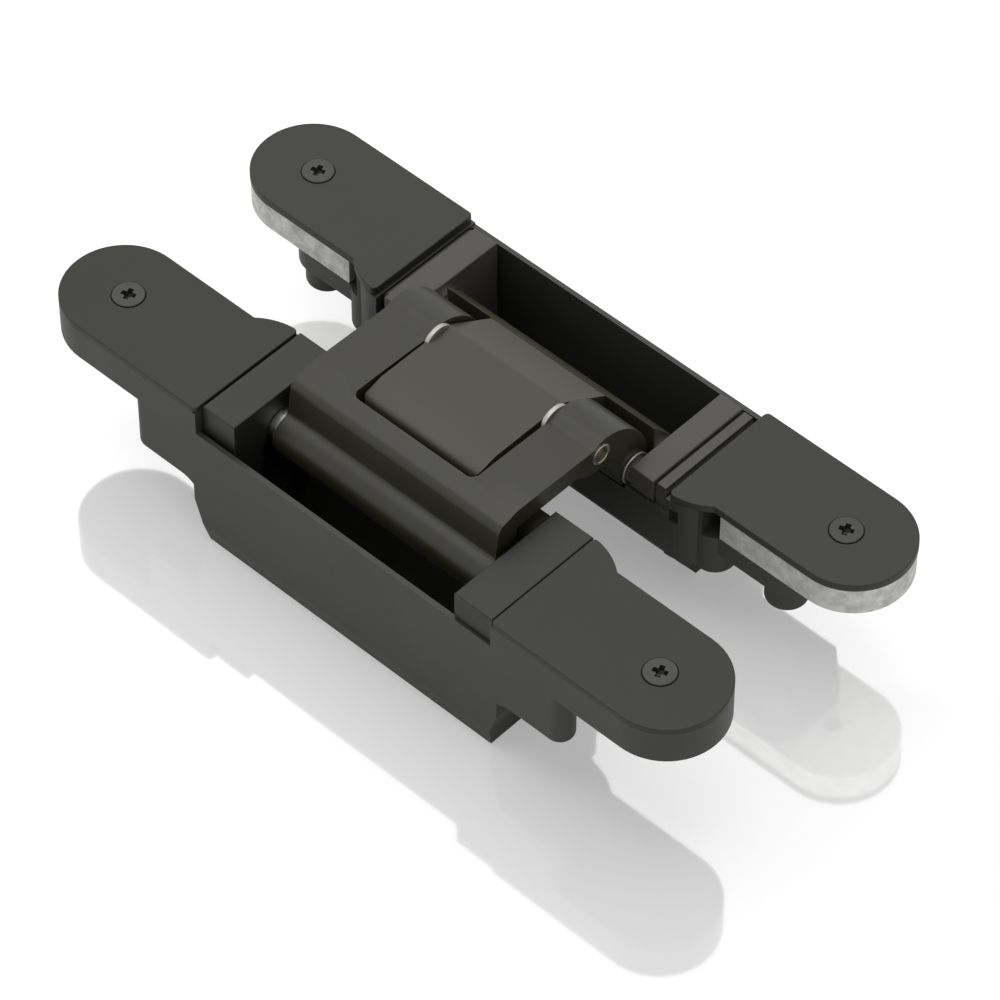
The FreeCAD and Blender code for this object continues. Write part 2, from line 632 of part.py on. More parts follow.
centre_washers = ring_pair(washer_radius, pin_centre + pin_clear, tongue_half - 0.46, window_half - 0.04, axis_c)
slot_bushes_a = ring_pair(bush_radius, pin_slot + pin_clear, arm_half + 0.06, block_a_inner - 0.06, slot_a)
pivot_spacers_a = ring_pair(3.2, pin_small + pin_clear, arm_half + 0.06, block_a_inner - 0.06, axis_a)
pivot_washers_b = ring_pair(3.4, pin_small + pin_clear, arm_half + 0.05, boss_b_face - 0.05, axis_b)
slot_bushes_b = Part.makeCompound([
    ring_x(bush_radius, pin_slot + pin_clear, arm_half + 0.06, block_b_inner_right - 0.06, slot_b),
    ring_x(bush_radius, pin_slot + pin_clear, -block_b_inner_left + 0.06, -arm_half - 0.06, slot_b)])

save("housing_a", housing_a)
save("cover_a_left", cover_a_left)
save("cover_a_right", cover_a_right)
save("cover_screws_a", cover_screws_a)
save("block_a_left", block_a_left)
save("block_a_right", block_a_right)
save("pivot_pin_a", pivot_pin_a)
save("pivot_spacers_a", pivot_spacers_a)
save("t_arm", t_arm)
save("slot_pin_b", slot_pin_b)
save("slot_bushes_b", slot_bushes_b)
save("centre_pin", centre_pin)
save("centre_washers", centre_washers)
save("u_arm", u_arm)
save("slot_pin_a", slot_pin_a)
save("slot_bushes_a", slot_bushes_a)
save("pivot_pin_b", pivot_pin_b)
save("pivot_washers_b", pivot_washers_b)
save("block_b_left", block_b_left)
save("block_b_right", block_b_right)
save("guide_strip_b_left", strip_b_left)
save("guide_strip_b_right", strip_b_right)
save("housing_b", housing_b)
save("mounting_plate_b_left", zinc_left)
save("mounting_plate_b_right", zinc_right)
save("cover_b_left", cover_b_left)
save("cover_b_right", cover_b_right)
save("cover_screws_b", cover_screws_b)
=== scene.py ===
import json
import math

import bmesh
import bpy
from bpy.props import FloatProperty, FloatVectorProperty, IntProperty, PointerProperty
from mathutils import Matrix, Vector


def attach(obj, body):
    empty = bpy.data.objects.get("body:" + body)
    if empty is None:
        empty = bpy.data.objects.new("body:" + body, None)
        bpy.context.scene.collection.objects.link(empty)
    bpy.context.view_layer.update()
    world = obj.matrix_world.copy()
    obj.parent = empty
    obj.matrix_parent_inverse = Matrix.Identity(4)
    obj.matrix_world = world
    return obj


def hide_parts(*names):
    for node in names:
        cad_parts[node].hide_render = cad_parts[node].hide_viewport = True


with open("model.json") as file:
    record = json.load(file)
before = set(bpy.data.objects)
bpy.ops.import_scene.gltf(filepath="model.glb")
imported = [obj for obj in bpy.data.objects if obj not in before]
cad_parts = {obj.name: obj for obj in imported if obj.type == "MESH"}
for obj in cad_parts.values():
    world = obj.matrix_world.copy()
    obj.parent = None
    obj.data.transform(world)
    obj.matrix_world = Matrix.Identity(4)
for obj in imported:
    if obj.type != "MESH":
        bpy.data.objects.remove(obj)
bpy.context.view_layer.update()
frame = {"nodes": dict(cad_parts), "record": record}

bl_info = {
    "name": "Concealed Door Hinge",
    "version": (1, 0, 0),
    "blender": (4, 5, 0),
    "location": "View3D > Sidebar > Hinge",
    "description": "Builds a concealed door hinge round its packed frame, with a pale studio",
    "category": "Object",
}

# Millimetres above the floor at which the covers of body A lie, and the drop to those of body B.
COVER_LEVEL = 36.0
DROP_B = 4.38

# Axes of the linkage opened flat, in millimetres across the hinge and below the covers of body A.
AXIS_A = (-12.0, -6.5)
AXIS_B = (12.8, -8.2)
AXIS_C = (3.8, 2.6)
SLOT_A = (-23.5, -7.9)
SLOT_B = (21.5, -11.5)

# Radii in the arms and the centre pin, and how the pin's collars sit, in millimetres.
PIN_BORE = 1.96
SLOT_PIN_BORE = 2.46
COLLAR_BORE = 2.26
WASHER_SINK = 3.95
TUBE = 3.9
EAR = 3.95
WING_END = 3.5
PIN_CORE = 1.9
COLLAR = 2.2
COLLAR_LENGTH = 10.0
PIN_STAND = 0.27
COLLAR_ROOM = 0.05
# Beyond the sides of the part, for what is bored right through.
THROUGH = 40.0

# Angles at which edges are rounded, faces are shaded smooth and flat faces are joined up.
EDGE_ANGLE = math.radians(32.0)
SMOOTH_ANGLE = math.radians(40.0)
GROWN_SMOOTH_ANGLE = math.radians(35.0)
FLAT_ANGLE = math.radians(0.6)
WELD = 2e-6
CENTRE_PIN_EDGE = 0.00006
# Straight part of a screw head that lies below the cover.
HEAD_LAND = 0.00005

COVERS = ("cover_a_left", "cover_a_right", "cover_b_left", "cover_b_right")
ZINC_PLATES = ("mounting_plate_b_left", "mounting_plate_b_right")
PLAIN_BLOCKS = ("block_a_left", "block_b_left", "block_b_right")
PLAIN_PINS = ("pivot_pin_a", "slot_pin_a", "pivot_pin_b", "slot_pin_b")
RINGS = ("slot_bushes_a", "slot_bushes_b", "pivot_spacers_a", "centre_washers", "pivot_washers_b")
RINGS_AT_RIGHT_BLOCK = ("slot_bushes_a", "pivot_spacers_a")
SCREWS = ("cover_screws_a", "cover_screws_b")

# Pieces whose tone in the photo isn't that of the rest of their slot.
OWN_FINISH_AND_SHADE = {
    "t_arm": "pale_arm",
    "cover_a_left": "plate_of_a",
    "cover_a_right": "plate_of_a",
    # The spacers of A are made near-black: painted shade for the dark place where they sit.
    "pivot_spacers_a": "dark_spacer",
    "block_b_left": "pale_block",
    "block_b_right": "pale_block",
    "guide_strip_b_left": "pale_block",
    "guide_strip_b_right": "pale_block",
}


# Settings shown in the panel
def length(name, description, default, low=0.0, high=1.0):
    return FloatProperty(name=name, description=description, default=default,
                         min=low, max=high, unit="LENGTH", subtype="DISTANCE")


def colour(name, description, default):
    return FloatVectorProperty(name=name, description=description, default=default,
                               size=3, min=0.0, max=1.0, subtype="COLOR")


def share(name, description, default, low=0.0, high=1.0):
    return FloatProperty(name=name, description=description, default=default,
                         min=low, max=high, subtype="FACTOR")


def millimetres(name, description, default, low, high):
    return FloatProperty(name=name, description=description, default=default, min=low, max=high)


class HingeCoating(bpy.types.PropertyGroup):
    """Colours and gloss of the satin black coating and the bare metals"""
    cast_black: colour("Cast bodies", "Colour of the coated cast bodies", (0.033, 0.033, 0.030))
    plate_black: colour("Cover plates", "Colour of the coated cover plates", (0.027, 0.028, 0.020))
    plate_a_black: colour("Plates of A", "Colour of the plates of body A", (0.020, 0.022, 0.013))
    u_black: colour("U arm", "Colour of the coated U arm", (0.018, 0.017, 0.009))
    t_black: colour("T arm", "Colour of the coated T arm", (0.038, 0.036, 0.023))
    block_a: colour("Blocks A", "Colour of the guide blocks in body A", (0.014, 0.014, 0.012))
    block_b: colour("Blocks B", "Colour of the guide blocks and strips in body B", (0.058, 0.056, 0.052))
    screw_black: colour("Screws", "Colour of the cover screws", (0.036, 0.037, 0.031))
    zinc: colour("Zinc", "Main tone of the bare zinc plates", (0.78, 0.79, 0.74))
    zinc_dark: colour("Zinc blots", "Darker tone in the bare zinc", (0.52, 0.53, 0.50))
    nickel: colour("Nickel", "Tone of the plated pins", (0.62, 0.58, 0.50))
    washer: colour("Washers", "Tone of the washers", (0.42, 0.41, 0.39))
    bush: colour("Bushes", "Tone of the bushes", (0.60, 0.60, 0.58))
    # Near-black tone of the spacers of A: painted shade.
    spacer: colour("Spacers", "Tone of the dark spacers", (0.05, 0.05, 0.05))
    gloss_rough: share("Coating roughness", "Roughness of the satin coating", 0.42)
    gloss_level: share("Coating reflection", "Reflection level of the satin coating", 0.5)
    plate_level: share("Plate reflection", "Reflection level of the cover plates", 0.38)


class HingeEdges(bpy.types.PropertyGroup):
    """Widths of the small edge rounds that catch the light"""
    cast: length("Cast edge", "Round on the edges of the cast bodies", 0.00035)
    plate: length("Plate edge", "Round on the edges of the cover plates", 0.00018)
    block: length("Block edge", "Round on the edges of the guide blocks", 0.00030)
    arm: length("Arm edge", "Round on the edges of the arms", 0.00030)
    pin: length("Pin edge", "Round on the rims of pins and rings", 0.00012)
    steps: IntProperty(name="Steps", description="Steps in each round", default=2, min=1, max=6)


class HingeScrew(bpy.types.PropertyGroup):
    """Sizes of the cover screws"""
    stand: length("Stand", "How far the head stands above the cover", 0.00025)
    lip: length("Lip", "Chamfer round the top of the head", 0.00016)
    cone: length("Cone", "Height of the countersunk cone", 0.00105)
    shank: length("Shank", "Radius of the shank", 0.0019)
    slot_length: length("Recess length", "Length of each arm of the cross", 0.0029)
    slot_width: length("Recess width", "Width of each arm of the cross", 0.00105)
    slot_depth: length("Recess depth", "Depth of the cross", 0.0016)
    hub: length("Recess hub", "Radius of the round middle of the cross", 0.00095)
    turn: FloatProperty(name="Turn", description="Turn of the cross recess", default=0.349,
                        subtype="ANGLE")
    sides: IntProperty(name="Sides", description="Sides of the round parts", default=72, min=12, max=128)


class HingeRings(bpy.types.PropertyGroup):
    """Bushes, spacers and washers, which are turned rings"""
    chamfer: length("Chamfer", "Round on the rims of the rings", 0.00013)
    round_steps: IntProperty(name="Round steps", description="Steps in each rim", default=3, min=1, max=6)
    sides: IntProperty(name="Sides", description="Sides of each ring", default=72, min=12, max=128)


class HingeArms(bpy.types.PropertyGroup):
    """Sizes of the two arms, in millimetres, where the photo is finer than the solids"""
    half: millimetres("Half width", "Half the width of the U arm and of the wing", 26.0, 10.0, 60.0)
    window: millimetres("Window", "Half the width of the window", 15.1, 5.0, 50.0)
    tongue: millimetres("Tongue", "Half the width of the tongue", 14.6, 5.0, 50.0)
    play: millimetres("Play", "Further gap on the right of the tongue", 0.7, 0.0, 1.5)
    window_y: millimetres("Window edge", "Front edge of the window", -18.3, -30.0, 0.0)
    tip_y: millimetres("Tongue tip", "Front of the tongue", -16.4, -30.0, 0.0)
    window_corner: millimetres("Window corner", "Round in the corners of the window", 1.8, 0.1, 5.0)
    tip_corner: millimetres("Tip corner", "Round on the corners of the tongue", 1.5, 0.1, 5.0)
    barrel: millimetres("Barrel", "Radius of the barrel at the slot pin", 4.8, 3.0, 6.0)
    bore_depth: millimetres("Pin bore depth", "Depth of the bore in each end of the pin", 3.0, 1.0, 12.0)
    bore_radius: millimetres("Pin bore radius", "Radius of the bore in each end of the pin", 1.6, 0.5, 1.9)
    block_reach: millimetres("Block reach", "How far the right block of A reaches inward", 0.76, 0.0, 1.5)


class HingeStage(bpy.types.PropertyGroup):
    """Floor, lamps and camera"""
    floor_colour: colour("Floor", "Colour of the floor", (0.88, 0.88, 0.88))
    floor_gloss: share("Floor mirror", "Share of mirror image on the floor", 0.31)
    floor_white: share("Floor white", "Plain white of the floor as the camera sees it", 0.30)
    floor_shadow: share("Floor shadow", "Share of the floor's white that a shadow takes away", 0.54)
    floor_rough: share("Floor roughness", "Softness of the mirror image", 0.06)
    world: FloatProperty(name="Sky", description="Strength of the plain surround", default=0.5, min=0.0)
    key_power: FloatProperty(name="Key lamp", description="Power of the large lamp above", default=2.8,
                             min=0.0, subtype="POWER")
    side_power: FloatProperty(name="Side lamp", description="Power of the lamp at the left", default=0.6,
                              min=0.0, subtype="POWER")
    back_power: FloatProperty(name="Back lamp", description="Power of the lamp behind", default=0.45,
                              min=0.0, subtype="POWER")
    lens: FloatProperty(name="Lens", description="Focal length in millimetres", default=195.4, min=10.0)


# Shader node groups
def new_group(name, inputs, outputs):
    """A shader node group with named sockets; returns it with its two end nodes."""
    group = bpy.data.node_groups.new(name, "ShaderNodeTree")
    for socket, kind, default in inputs:
        made = group.interface.new_socket(socket, in_out="INPUT", socket_type="NodeSocket" + kind)
        made.default_value = default
    for socket, kind in outputs:
        group.interface.new_socket(socket, in_out="OUTPUT", socket_type="NodeSocket" + kind)
    start = group.nodes.new("NodeGroupInput")
    end = group.nodes.new("NodeGroupOutput")
    return group, start, end


def maths(tree, kind, first, second=None, clamp=False):
    node = tree.nodes.new("ShaderNodeMath")
    node.operation = kind
    node.use_clamp = clamp
    for place, value in enumerate((first, second)):
        if value is None:
            continue
        if isinstance(value, (int, float)):
            node.inputs[place].default_value = value
        else:
            tree.links.new(value, node.inputs[place])
    return node.outputs[0]


def remap(tree, value, low, high, to_low, to_high):
    node = tree.nodes.new("ShaderNodeMapRange")
    tree.links.new(value, node.inputs["Value"])
    for socket, given in (("From Min", low), ("From Max", high), ("To Min", to_low), ("To Max", to_high)):
        if isinstance(given, (int, float)):
            node.inputs[socket].default_value = given
        else:
            tree.links.new(given, node.inputs[socket])
    return node.outputs["Result"]


def noise(tree, vector, scale, detail, rough=0.5):
    node = tree.nodes.new("ShaderNodeTexNoise")
    node.inputs["Detail"].default_value = detail
    node.inputs["Roughness"].default_value = rough
    tree.links.new(vector, node.inputs["Vector"])
    if isinstance(scale, (int, float)):
        node.inputs["Scale"].default_value = scale
    else:
        tree.links.new(scale, node.inputs["Scale"])
    return node.outputs["Fac"]


def mix_colour(tree, factor, first, second):
    node = tree.nodes.new("ShaderNodeMix")
    node.data_type = "RGBA"
    for socket, given in (("Factor", factor), ("A", first), ("B", second)):
        place = [s for s in node.inputs if s.name == socket and s.enabled][0]
        if isinstance(given, (int, float)):
            place.default_value = given
        elif isinstance(given, (tuple, list)):
            place.default_value = tuple(given) + (1.0,) * (4 - len(given))
        else:
            tree.links.new(given, place)
    return [s for s in node.outputs if s.enabled][0]


def coating_grain():
    """Fine powder grain: a slow drift in gloss and a very fine height."""
    group, start, end = new_group(
        "Coating grain",
        [("Grain Scale", "Float", 5200.0), ("Drift Scale", "Float", 60.0),
         ("Rough Low", "Float", 0.38), ("Rough High", "Float", 0.5),
         ("Colour", "Color", (0.03, 0.03, 0.03, 1.0)), ("Tint", "Float", 0.12)],
        [("Colour", "Color"), ("Roughness", "Float"), ("Height", "Float")])
    place = group.nodes.new("ShaderNodeTexCoord").outputs["Object"]
    drift = noise(group, place, start.outputs["Drift Scale"], 3.0)
    grain = noise(group, place, start.outputs["Grain Scale"], 2.0, 0.6)
    both = maths(group, "ADD", maths(group, "MULTIPLY", drift, 0.7), maths(group, "MULTIPLY", grain, 0.3))
    rough = remap(group, both, 0.3, 0.7, start.outputs["Rough Low"], start.outputs["Rough High"])
    lift = maths(group, "MULTIPLY", maths(group, "SUBTRACT", both, 0.5), start.outputs["Tint"])
    gain = maths(group, "ADD", lift, 1.0)
    scaled = group.nodes.new("ShaderNodeVectorMath")
    scaled.operation = "SCALE"
    group.links.new(start.outputs["Colour"], scaled.inputs[0])
    group.links.new(gain, scaled.inputs["Scale"])
    group.links.new(scaled.outputs[0], end.inputs["Colour"])
    group.links.new(rough, end.inputs["Roughness"])
    group.links.new(grain, end.inputs["Height"])
    return group


def painted_edge_highlight():
    """Painted highlight: a patchy mask of outer edges, lightened in colour and made slightly glossier."""
    group, start, end = new_group(
        "Painted edge highlight",
        [("Width", "Float", 0.0004), ("Colour", "Color", (0.03, 0.03, 0.03, 1.0)),
         ("Highlight Colour", "Color", (0.09, 0.09, 0.085, 1.0)), ("Strength", "Float", 0.5),
         ("Roughness", "Float", 0.4)],
        [("Colour", "Color"), ("Roughness", "Float")])
    bevel = group.nodes.new("ShaderNodeBevel")
    bevel.samples = 4
    group.links.new(start.outputs["Width"], bevel.inputs["Radius"])
    true_normal = group.nodes.new("ShaderNodeNewGeometry").outputs["True Normal"]
    dot = group.nodes.new("ShaderNodeVectorMath")
    dot.operation = "DOT_PRODUCT"
    group.links.new(bevel.outputs[0], dot.inputs[0])
    group.links.new(true_normal, dot.inputs[1])
    edge = remap(group, dot.outputs["Value"], 0.995, 0.80, 0.0, 1.0)
    place = group.nodes.new("ShaderNodeTexCoord").outputs["Object"]
    patchy = remap(group, noise(group, place, 420.0, 3.0), 0.35, 0.65, 0.35, 1.0)
    mask = maths(group, "MULTIPLY", maths(group, "MULTIPLY", edge, patchy), start.outputs["Strength"],
                 clamp=True)
    # Lighter colour on the masked edges: a painted highlight.
    shade = mix_colour(group, mask, start.outputs["Colour"], start.outputs["Highlight Colour"])
    rough = maths(group, "SUBTRACT", start.outputs["Roughness"], maths(group, "MULTIPLY", mask, 0.12))
    group.links.new(shade, end.inputs["Colour"])
    group.links.new(rough, end.inputs["Roughness"])
    return group


def zinc_mottle():
    """Blots and specks of bare galvanised zinc."""
    group, start, end = new_group(
        "Zinc mottle",
        [("Blot Scale", "Float", 420.0), ("Speck Scale", "Float", 1700.0),
         ("Light", "Color", (0.5, 0.5, 0.47, 1.0)), ("Dark", "Color", (0.3, 0.3, 0.28, 1.0))],
        [("Colour", "Color"), ("Roughness", "Float"), ("Height", "Float")])
    place = group.nodes.new("ShaderNodeTexCoord").outputs["Object"]
    blots = remap(group, noise(group, place, start.outputs["Blot Scale"], 6.0, 0.62), 0.36, 0.66, 0.0, 1.0)
    specks = remap(group, noise(group, place, start.outputs["Speck Scale"], 3.0, 0.7), 0.60, 0.74, 0.0, 0.45)
    mask = maths(group, "ADD", blots, specks, clamp=True)
    shade = mix_colour(group, mask, start.outputs["Light"], start.outputs["Dark"])
    group.links.new(shade, end.inputs["Colour"])
    group.links.new(remap(group, mask, 0.0, 1.0, 0.40, 0.58), end.inputs["Roughness"])
    group.links.new(mask, end.inputs["Height"])
    return group


def turning_marks():
    """Faint turned rings along a pin that lies along X."""
    group, start, end = new_group(
        "Turning marks",
        [("Ring Scale", "Float", 9000.0), ("Colour", "Color", (0.6, 0.6, 0.56, 1.0)),
         ("Rough", "Float", 0.25)],
        [("Colour", "Color"), ("Roughness", "Float"), ("Height", "Float")])
    place = group.nodes.new("ShaderNodeTexCoord").outputs["Object"]
    stretch = group.nodes.new("ShaderNodeMapping")
    stretch.inputs["Scale"].default_value = (1.0, 0.05, 0.05)
    group.links.new(place, stretch.inputs["Vector"])
    rings = noise(group, stretch.outputs[0], start.outputs["Ring Scale"], 2.0)
    dull = noise(group, place, 700.0, 3.0)
    shade = mix_colour(group, remap(group, dull, 0.3, 0.75, 0.0, 0.35), start.outputs["Colour"],
                       (0.28, 0.26, 0.23))
    rough = maths(group, "ADD", start.outputs["Rough"], remap(group, dull, 0.3, 0.7, -0.05, 0.12))
    group.links.new(shade, end.inputs["Colour"])
    group.links.new(rough, end.inputs["Roughness"])
    group.links.new(rings, end.inputs["Height"])
    return group


GROUP_MAKERS = {
    "Coating grain": coating_grain,
    "Painted edge highlight": painted_edge_highlight,
    "Zinc mottle": zinc_mottle,
    "Turning marks": turning_marks,
}


def group_node(tree, name, values):
    group = bpy.data.node_groups.get(name) or GROUP_MAKERS[name]()
    node = tree.nodes.new("ShaderNodeGroup")
    node.node_tree = group
    for socket, given in values.items():
        if isinstance(given, bpy.types.NodeSocket):
            tree.links.new(given, node.inputs[socket])
        elif isinstance(given, (int, float)):
            node.inputs[socket].default_value = given
        else:
            node.inputs[socket].default_value = tuple(given) + (1.0,) * (4 - len(given))
    return node


def bump(tree, height, strength, distance, shader):
    node = tree.nodes.new("ShaderNodeBump")
    node.inputs["Strength"].default_value = strength
    node.inputs["Distance"].default_value = distance
    tree.links.new(height, node.inputs["Height"])
    tree.links.new(node.outputs[0], shader.inputs["Normal"])


def fresh_material(name):
    material = bpy.data.materials.new(name)
    material.use_nodes = True
    shader = material.node_tree.nodes["Principled BSDF"]
    return material, material.node_tree, shader


def coated(name, shade, rough, edge, grain, tint, level):
    """Satin black powder coat with fine grain, and edges lightened as a painted highlight and made slightly
    glossier.
    """
    if name in bpy.data.materials:
        return bpy.data.materials[name]
    material, tree, shader = fresh_material(name)
    base = group_node(tree, "Coating grain", {"Colour": shade, "Rough Low": rough - 0.05,
                                              "Rough High": rough + 0.06, "Tint": tint})
    # The coat's colour is lightened along the edges as a painted highlight, with a slight drop in roughness.
    edge_lit = group_node(tree, "Painted edge highlight", {"Colour": base.outputs["Colour"], "Strength": edge,
                                             "Roughness": base.outputs["Roughness"],
                                             "Highlight Colour": [c * 2.2 + 0.02 for c in shade]})
    tree.links.new(edge_lit.outputs["Colour"], shader.inputs["Base Color"])
    tree.links.new(edge_lit.outputs["Roughness"], shader.inputs["Roughness"])
    shader.inputs["Specular IOR Level"].default_value = level
    bump(tree, base.outputs["Height"], grain, 0.00004, shader)
    return material


def bare_zinc(name, light, dark):
    if name in bpy.data.materials:
        return bpy.data.materials[name]
    material, tree, shader = fresh_material(name)
    mottle = group_node(tree, "Zinc mottle", {"Light": light, "Dark": dark})
    tree.links.new(mottle.outputs["Colour"], shader.inputs["Base Color"])
    tree.links.new(mottle.outputs["Roughness"], shader.inputs["Roughness"])
    shader.inputs["Metallic"].default_value = 0.45
    bump(tree, mottle.outputs["Height"], 0.25, 0.00006, shader)
    return material


def turned_metal(name, shade, rough):
    if name in bpy.data.materials:
        return bpy.data.materials[name]
    material, tree, shader = fresh_material(name)
    marks = group_node(tree, "Turning marks", {"Colour": shade, "Rough": rough})
    tree.links.new(marks.outputs["Colour"], shader.inputs["Base Color"])
    tree.links.new(marks.outputs["Roughness"], shader.inputs["Roughness"])
    shader.inputs["Metallic"].default_value = 1.0
    bump(tree, marks.outputs["Height"], 0.12, 0.00002, shader)
    return material


def slot_of(node):
    return next(s["material_slot"] for s in frame["record"]["subparts"] if s["node"] == node)


def finish_of(node):
    """The material of one node: its slot's finish, or its own where its tone differs or where it carries
    painted shade.
    """
    looks = bpy.context.scene.hinge_coating
    rough = looks.gloss_rough
    level = looks.gloss_level
    plate = looks.plate_level
    # Name, colour, roughness, strength of the painted edge highlight, grain, drift in tone and reflection.
    coats = {
        "housing_black": ("Cast black", looks.cast_black, rough + 0.02, 0.5, 0.16, 0.2, level),
        "cover_black": ("Plate black", looks.plate_black, rough, 0.35, 0.06, 0.06, plate),
        "plate_of_a": ("Plate of A", looks.plate_a_black, rough, 0.35, 0.06, 0.06, plate),
        "block_black": ("Block black", looks.block_a, rough, 0.4, 0.08, 0.08, level - 0.05),
        "pale_block": ("Block pale", looks.block_b, rough, 0.4, 0.08, 0.08, level),
        "arm_black": ("Arm black", looks.u_black, rough - 0.04, 0.45, 0.10, 0.1, level),
        "pale_arm": ("Arm pale", looks.t_black, rough - 0.04, 0.45, 0.10, 0.1, level),
        "screw_black": ("Screw black", looks.screw_black, rough - 0.1, 0.6, 0.10, 0.3, level),
    }
    metals = {
        "pin_nickel": ("Nickel", looks.nickel, 0.28),
        "washer_bright": ("Washer", looks.washer, 0.40),
        "bush_grey": ("Bush", looks.bush, 0.26),
        # Near-black turned metal on the spacers of A: painted shade.
        "dark_spacer": ("Spacer", looks.spacer, 0.45),
    }
    finish = OWN_FINISH_AND_SHADE.get(node) or slot_of(node)
    if finish in coats:
        return coated(*coats[finish])
    if finish in metals:
        return turned_metal(*metals[finish])
    return bare_zinc("Bare zinc", looks.zinc, looks.zinc_dark)


# Mesh helpers
def link(name, mesh):
    piece = bpy.data.objects.new(name, mesh)
    bpy.context.scene.collection.objects.link(piece)
    return piece


def released(work, name):
    """The mesh that a work mesh holds, which is then let go."""
    mesh = bpy.data.meshes.new(name)
    work.to_mesh(mesh)
    work.free()
    return mesh


def join_flat_faces(work):
    bmesh.ops.remove_doubles(work, verts=work.verts, dist=WELD)
    bmesh.ops.dissolve_limit(work, angle_limit=FLAT_ANGLE, verts=work.verts, edges=work.edges)


def merged_copy(node):
    """A merged copy of a CAD node's loose triangles, with flat faces joined up."""
    work = bmesh.new()
    work.from_mesh(frame["nodes"][node].data)
    join_flat_faces(work)
    bmesh.ops.recalc_face_normals(work, faces=work.faces)
    return link(node + "_finish", released(work, node + "_finish"))


def apply_modifiers(piece):
    """Turns a piece with modifiers into a plain mesh."""
    graph = bpy.context.evaluated_depsgraph_get()
    baked = bpy.data.meshes.new_from_object(piece.evaluated_get(graph), depsgraph=graph)
    piece.modifiers.clear()
    old = piece.data
    piece.data = baked
    bpy.data.meshes.remove(old)


def smooth_by_angle(mesh, angle):
    mesh.shade_smooth()
    mesh.set_sharp_from_angle(angle=angle)


def rounded(piece, width, steps):
    bevel = piece.modifiers.new("Edge round", "BEVEL")
    bevel.width = width
    bevel.segments = steps
    bevel.limit_method = "ANGLE"
    bevel.angle_limit = EDGE_ANGLE
    bevel.miter_outer = "MITER_ARC"
    bevel.use_clamp_overlap = True
    bevel.harden_normals = False
    apply_modifiers(piece)
    smooth_by_angle(piece.data, SMOOTH_ANGLE)
    even = piece.modifiers.new("Even shading", "WEIGHTED_NORMAL")
    even.mode = "FACE_AREA"
    even.weight = 100
    even.keep_sharp = True
    apply_modifiers(piece)


def metres(point):
    """A point across the hinge in millimetres, as metres in the frame."""
    return point[0] / 1000.0, (point[1] + COVER_LEVEL) / 1000.0


def arc(centre, radius, start, stop, count):
    """Points of an arc in a section, with its angles in degrees."""
    angles = (math.radians(start + (stop - start) * i / count) for i in range(count + 1))
    return [(centre[0] + radius * math.cos(a), centre[1] + radius * math.sin(a)) for a in angles]


def prism(outline, x0, x1):
    """A piece whose section across the hinge is drawn along X."""
    work = bmesh.new()
    ring = [work.verts.new((x0 / 1000.0,) + metres(p)) for p in outline]
    face = work.faces.new(ring)
    grown = bmesh.ops.extrude_face_region(work, geom=[face])
    moved = [item for item in grown["geom"] if isinstance(item, bmesh.types.BMVert)]
    bmesh.ops.translate(work, verts=moved, vec=((x1 - x0) / 1000.0, 0.0, 0.0))
    bmesh.ops.recalc_face_normals(work, faces=work.faces)
    return link("prism", released(work, "prism"))


def rod(radius, x0, x1, centre):
    """A round bar along X."""
    return prism(arc(centre, radius, 0.0, 355.0, 71), x0, x1)


def block(x0, x1, y0, y1, low, high):
    """A plain block, its heights given below the covers of body A."""
    return prism([(y0, low), (y1, low), (y1, high), (y0, high)], x0, x1)


def column(radius, x, y, low, high):
    """An upright round bar."""
    work = bmesh.new()
    place = Matrix.Translation((x / 1000.0, y / 1000.0, ((low + high) / 2.0 + COVER_LEVEL) / 1000.0))
    bmesh.ops.create_cone(work, cap_ends=True, segments=48, radius1=radius / 1000.0,
                          radius2=radius / 1000.0, depth=(high - low) / 1000.0, matrix=place)
    return link("column", released(work, "column"))


def combined(piece, tools, operation):
    """Joins tools to a piece, or cuts them out of it, and clears them away."""
    for tool in tools:
        change = piece.modifiers.new("Shape", "BOOLEAN")
        change.operation = operation
        change.solver = "EXACT"
        change.object = tool
        apply_modifiers(piece)
        spent = tool.data
        bpy.data.objects.remove(tool)
        bpy.data.meshes.remove(spent)
    return piece


def tidied(piece):
    """Joins up faces that lie in one plane after shapes were combined."""
    work = bmesh.new()
    work.from_mesh(piece.data)
    join_flat_faces(work)
    work.to_mesh(piece.data)
    work.free()
    return piece


def one_material(piece, node):
    piece.data.materials.clear()
    piece.data.materials.append(finish_of(node))
    piece.data.polygons.foreach_set("material_index", [0] * len(piece.data.polygons))


def body_name(node):
    return next(body for body, members in frame["record"]["behaviour"]["bodies"].items()
                if node in members)


def hand_over(piece, node):
    """Hides the CAD node that a finished piece stands in for, and gives the piece its body."""
    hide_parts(node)
    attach(piece, body_name(node))


def finished(piece, node, width, steps):
    """Softens a piece's edges, paints it and hands it over in place of one CAD node."""
    piece.name = node + "_finish"
    rounded(piece, width, steps)
    one_material(piece, node)
    hand_over(piece, node)


# Geometry node groups
def step(tree, kind, inputs, **settings):
    """One node with its settings and its named inputs, given as values or as other sockets."""
    node = tree.nodes.new(kind)
    for key, value in settings.items():
        setattr(node, key, value)
    for socket, given in inputs.items():
        if isinstance(given, bpy.types.NodeSocket):
            tree.links.new(given, node.inputs[socket])
        else:
            node.inputs[socket].default_value = given
    return node


def vector(tree, x, y, z):
    return step(tree, "ShaderNodeCombineXYZ", {"X": x, "Y": y, "Z": z}).outputs[0]


def joined(tree, parts):
    node = tree.nodes.new("GeometryNodeJoinGeometry")
    for part in parts:
        tree.links.new(part, node.inputs[0])
    return node.outputs[0]


def geometry_group(name, inputs):
    group = bpy.data.node_groups.new(name, "GeometryNodeTree")
    for socket, kind in inputs:
        group.interface.new_socket(socket, in_out="INPUT", socket_type="NodeSocket" + kind)
    group.interface.new_socket("Geometry", in_out="OUTPUT", socket_type="NodeSocketGeometry")
    start = group.nodes.new("NodeGroupInput")
    end = group.nodes.new("NodeGroupOutput")
    return group, start.outputs, end.inputs["Geometry"]


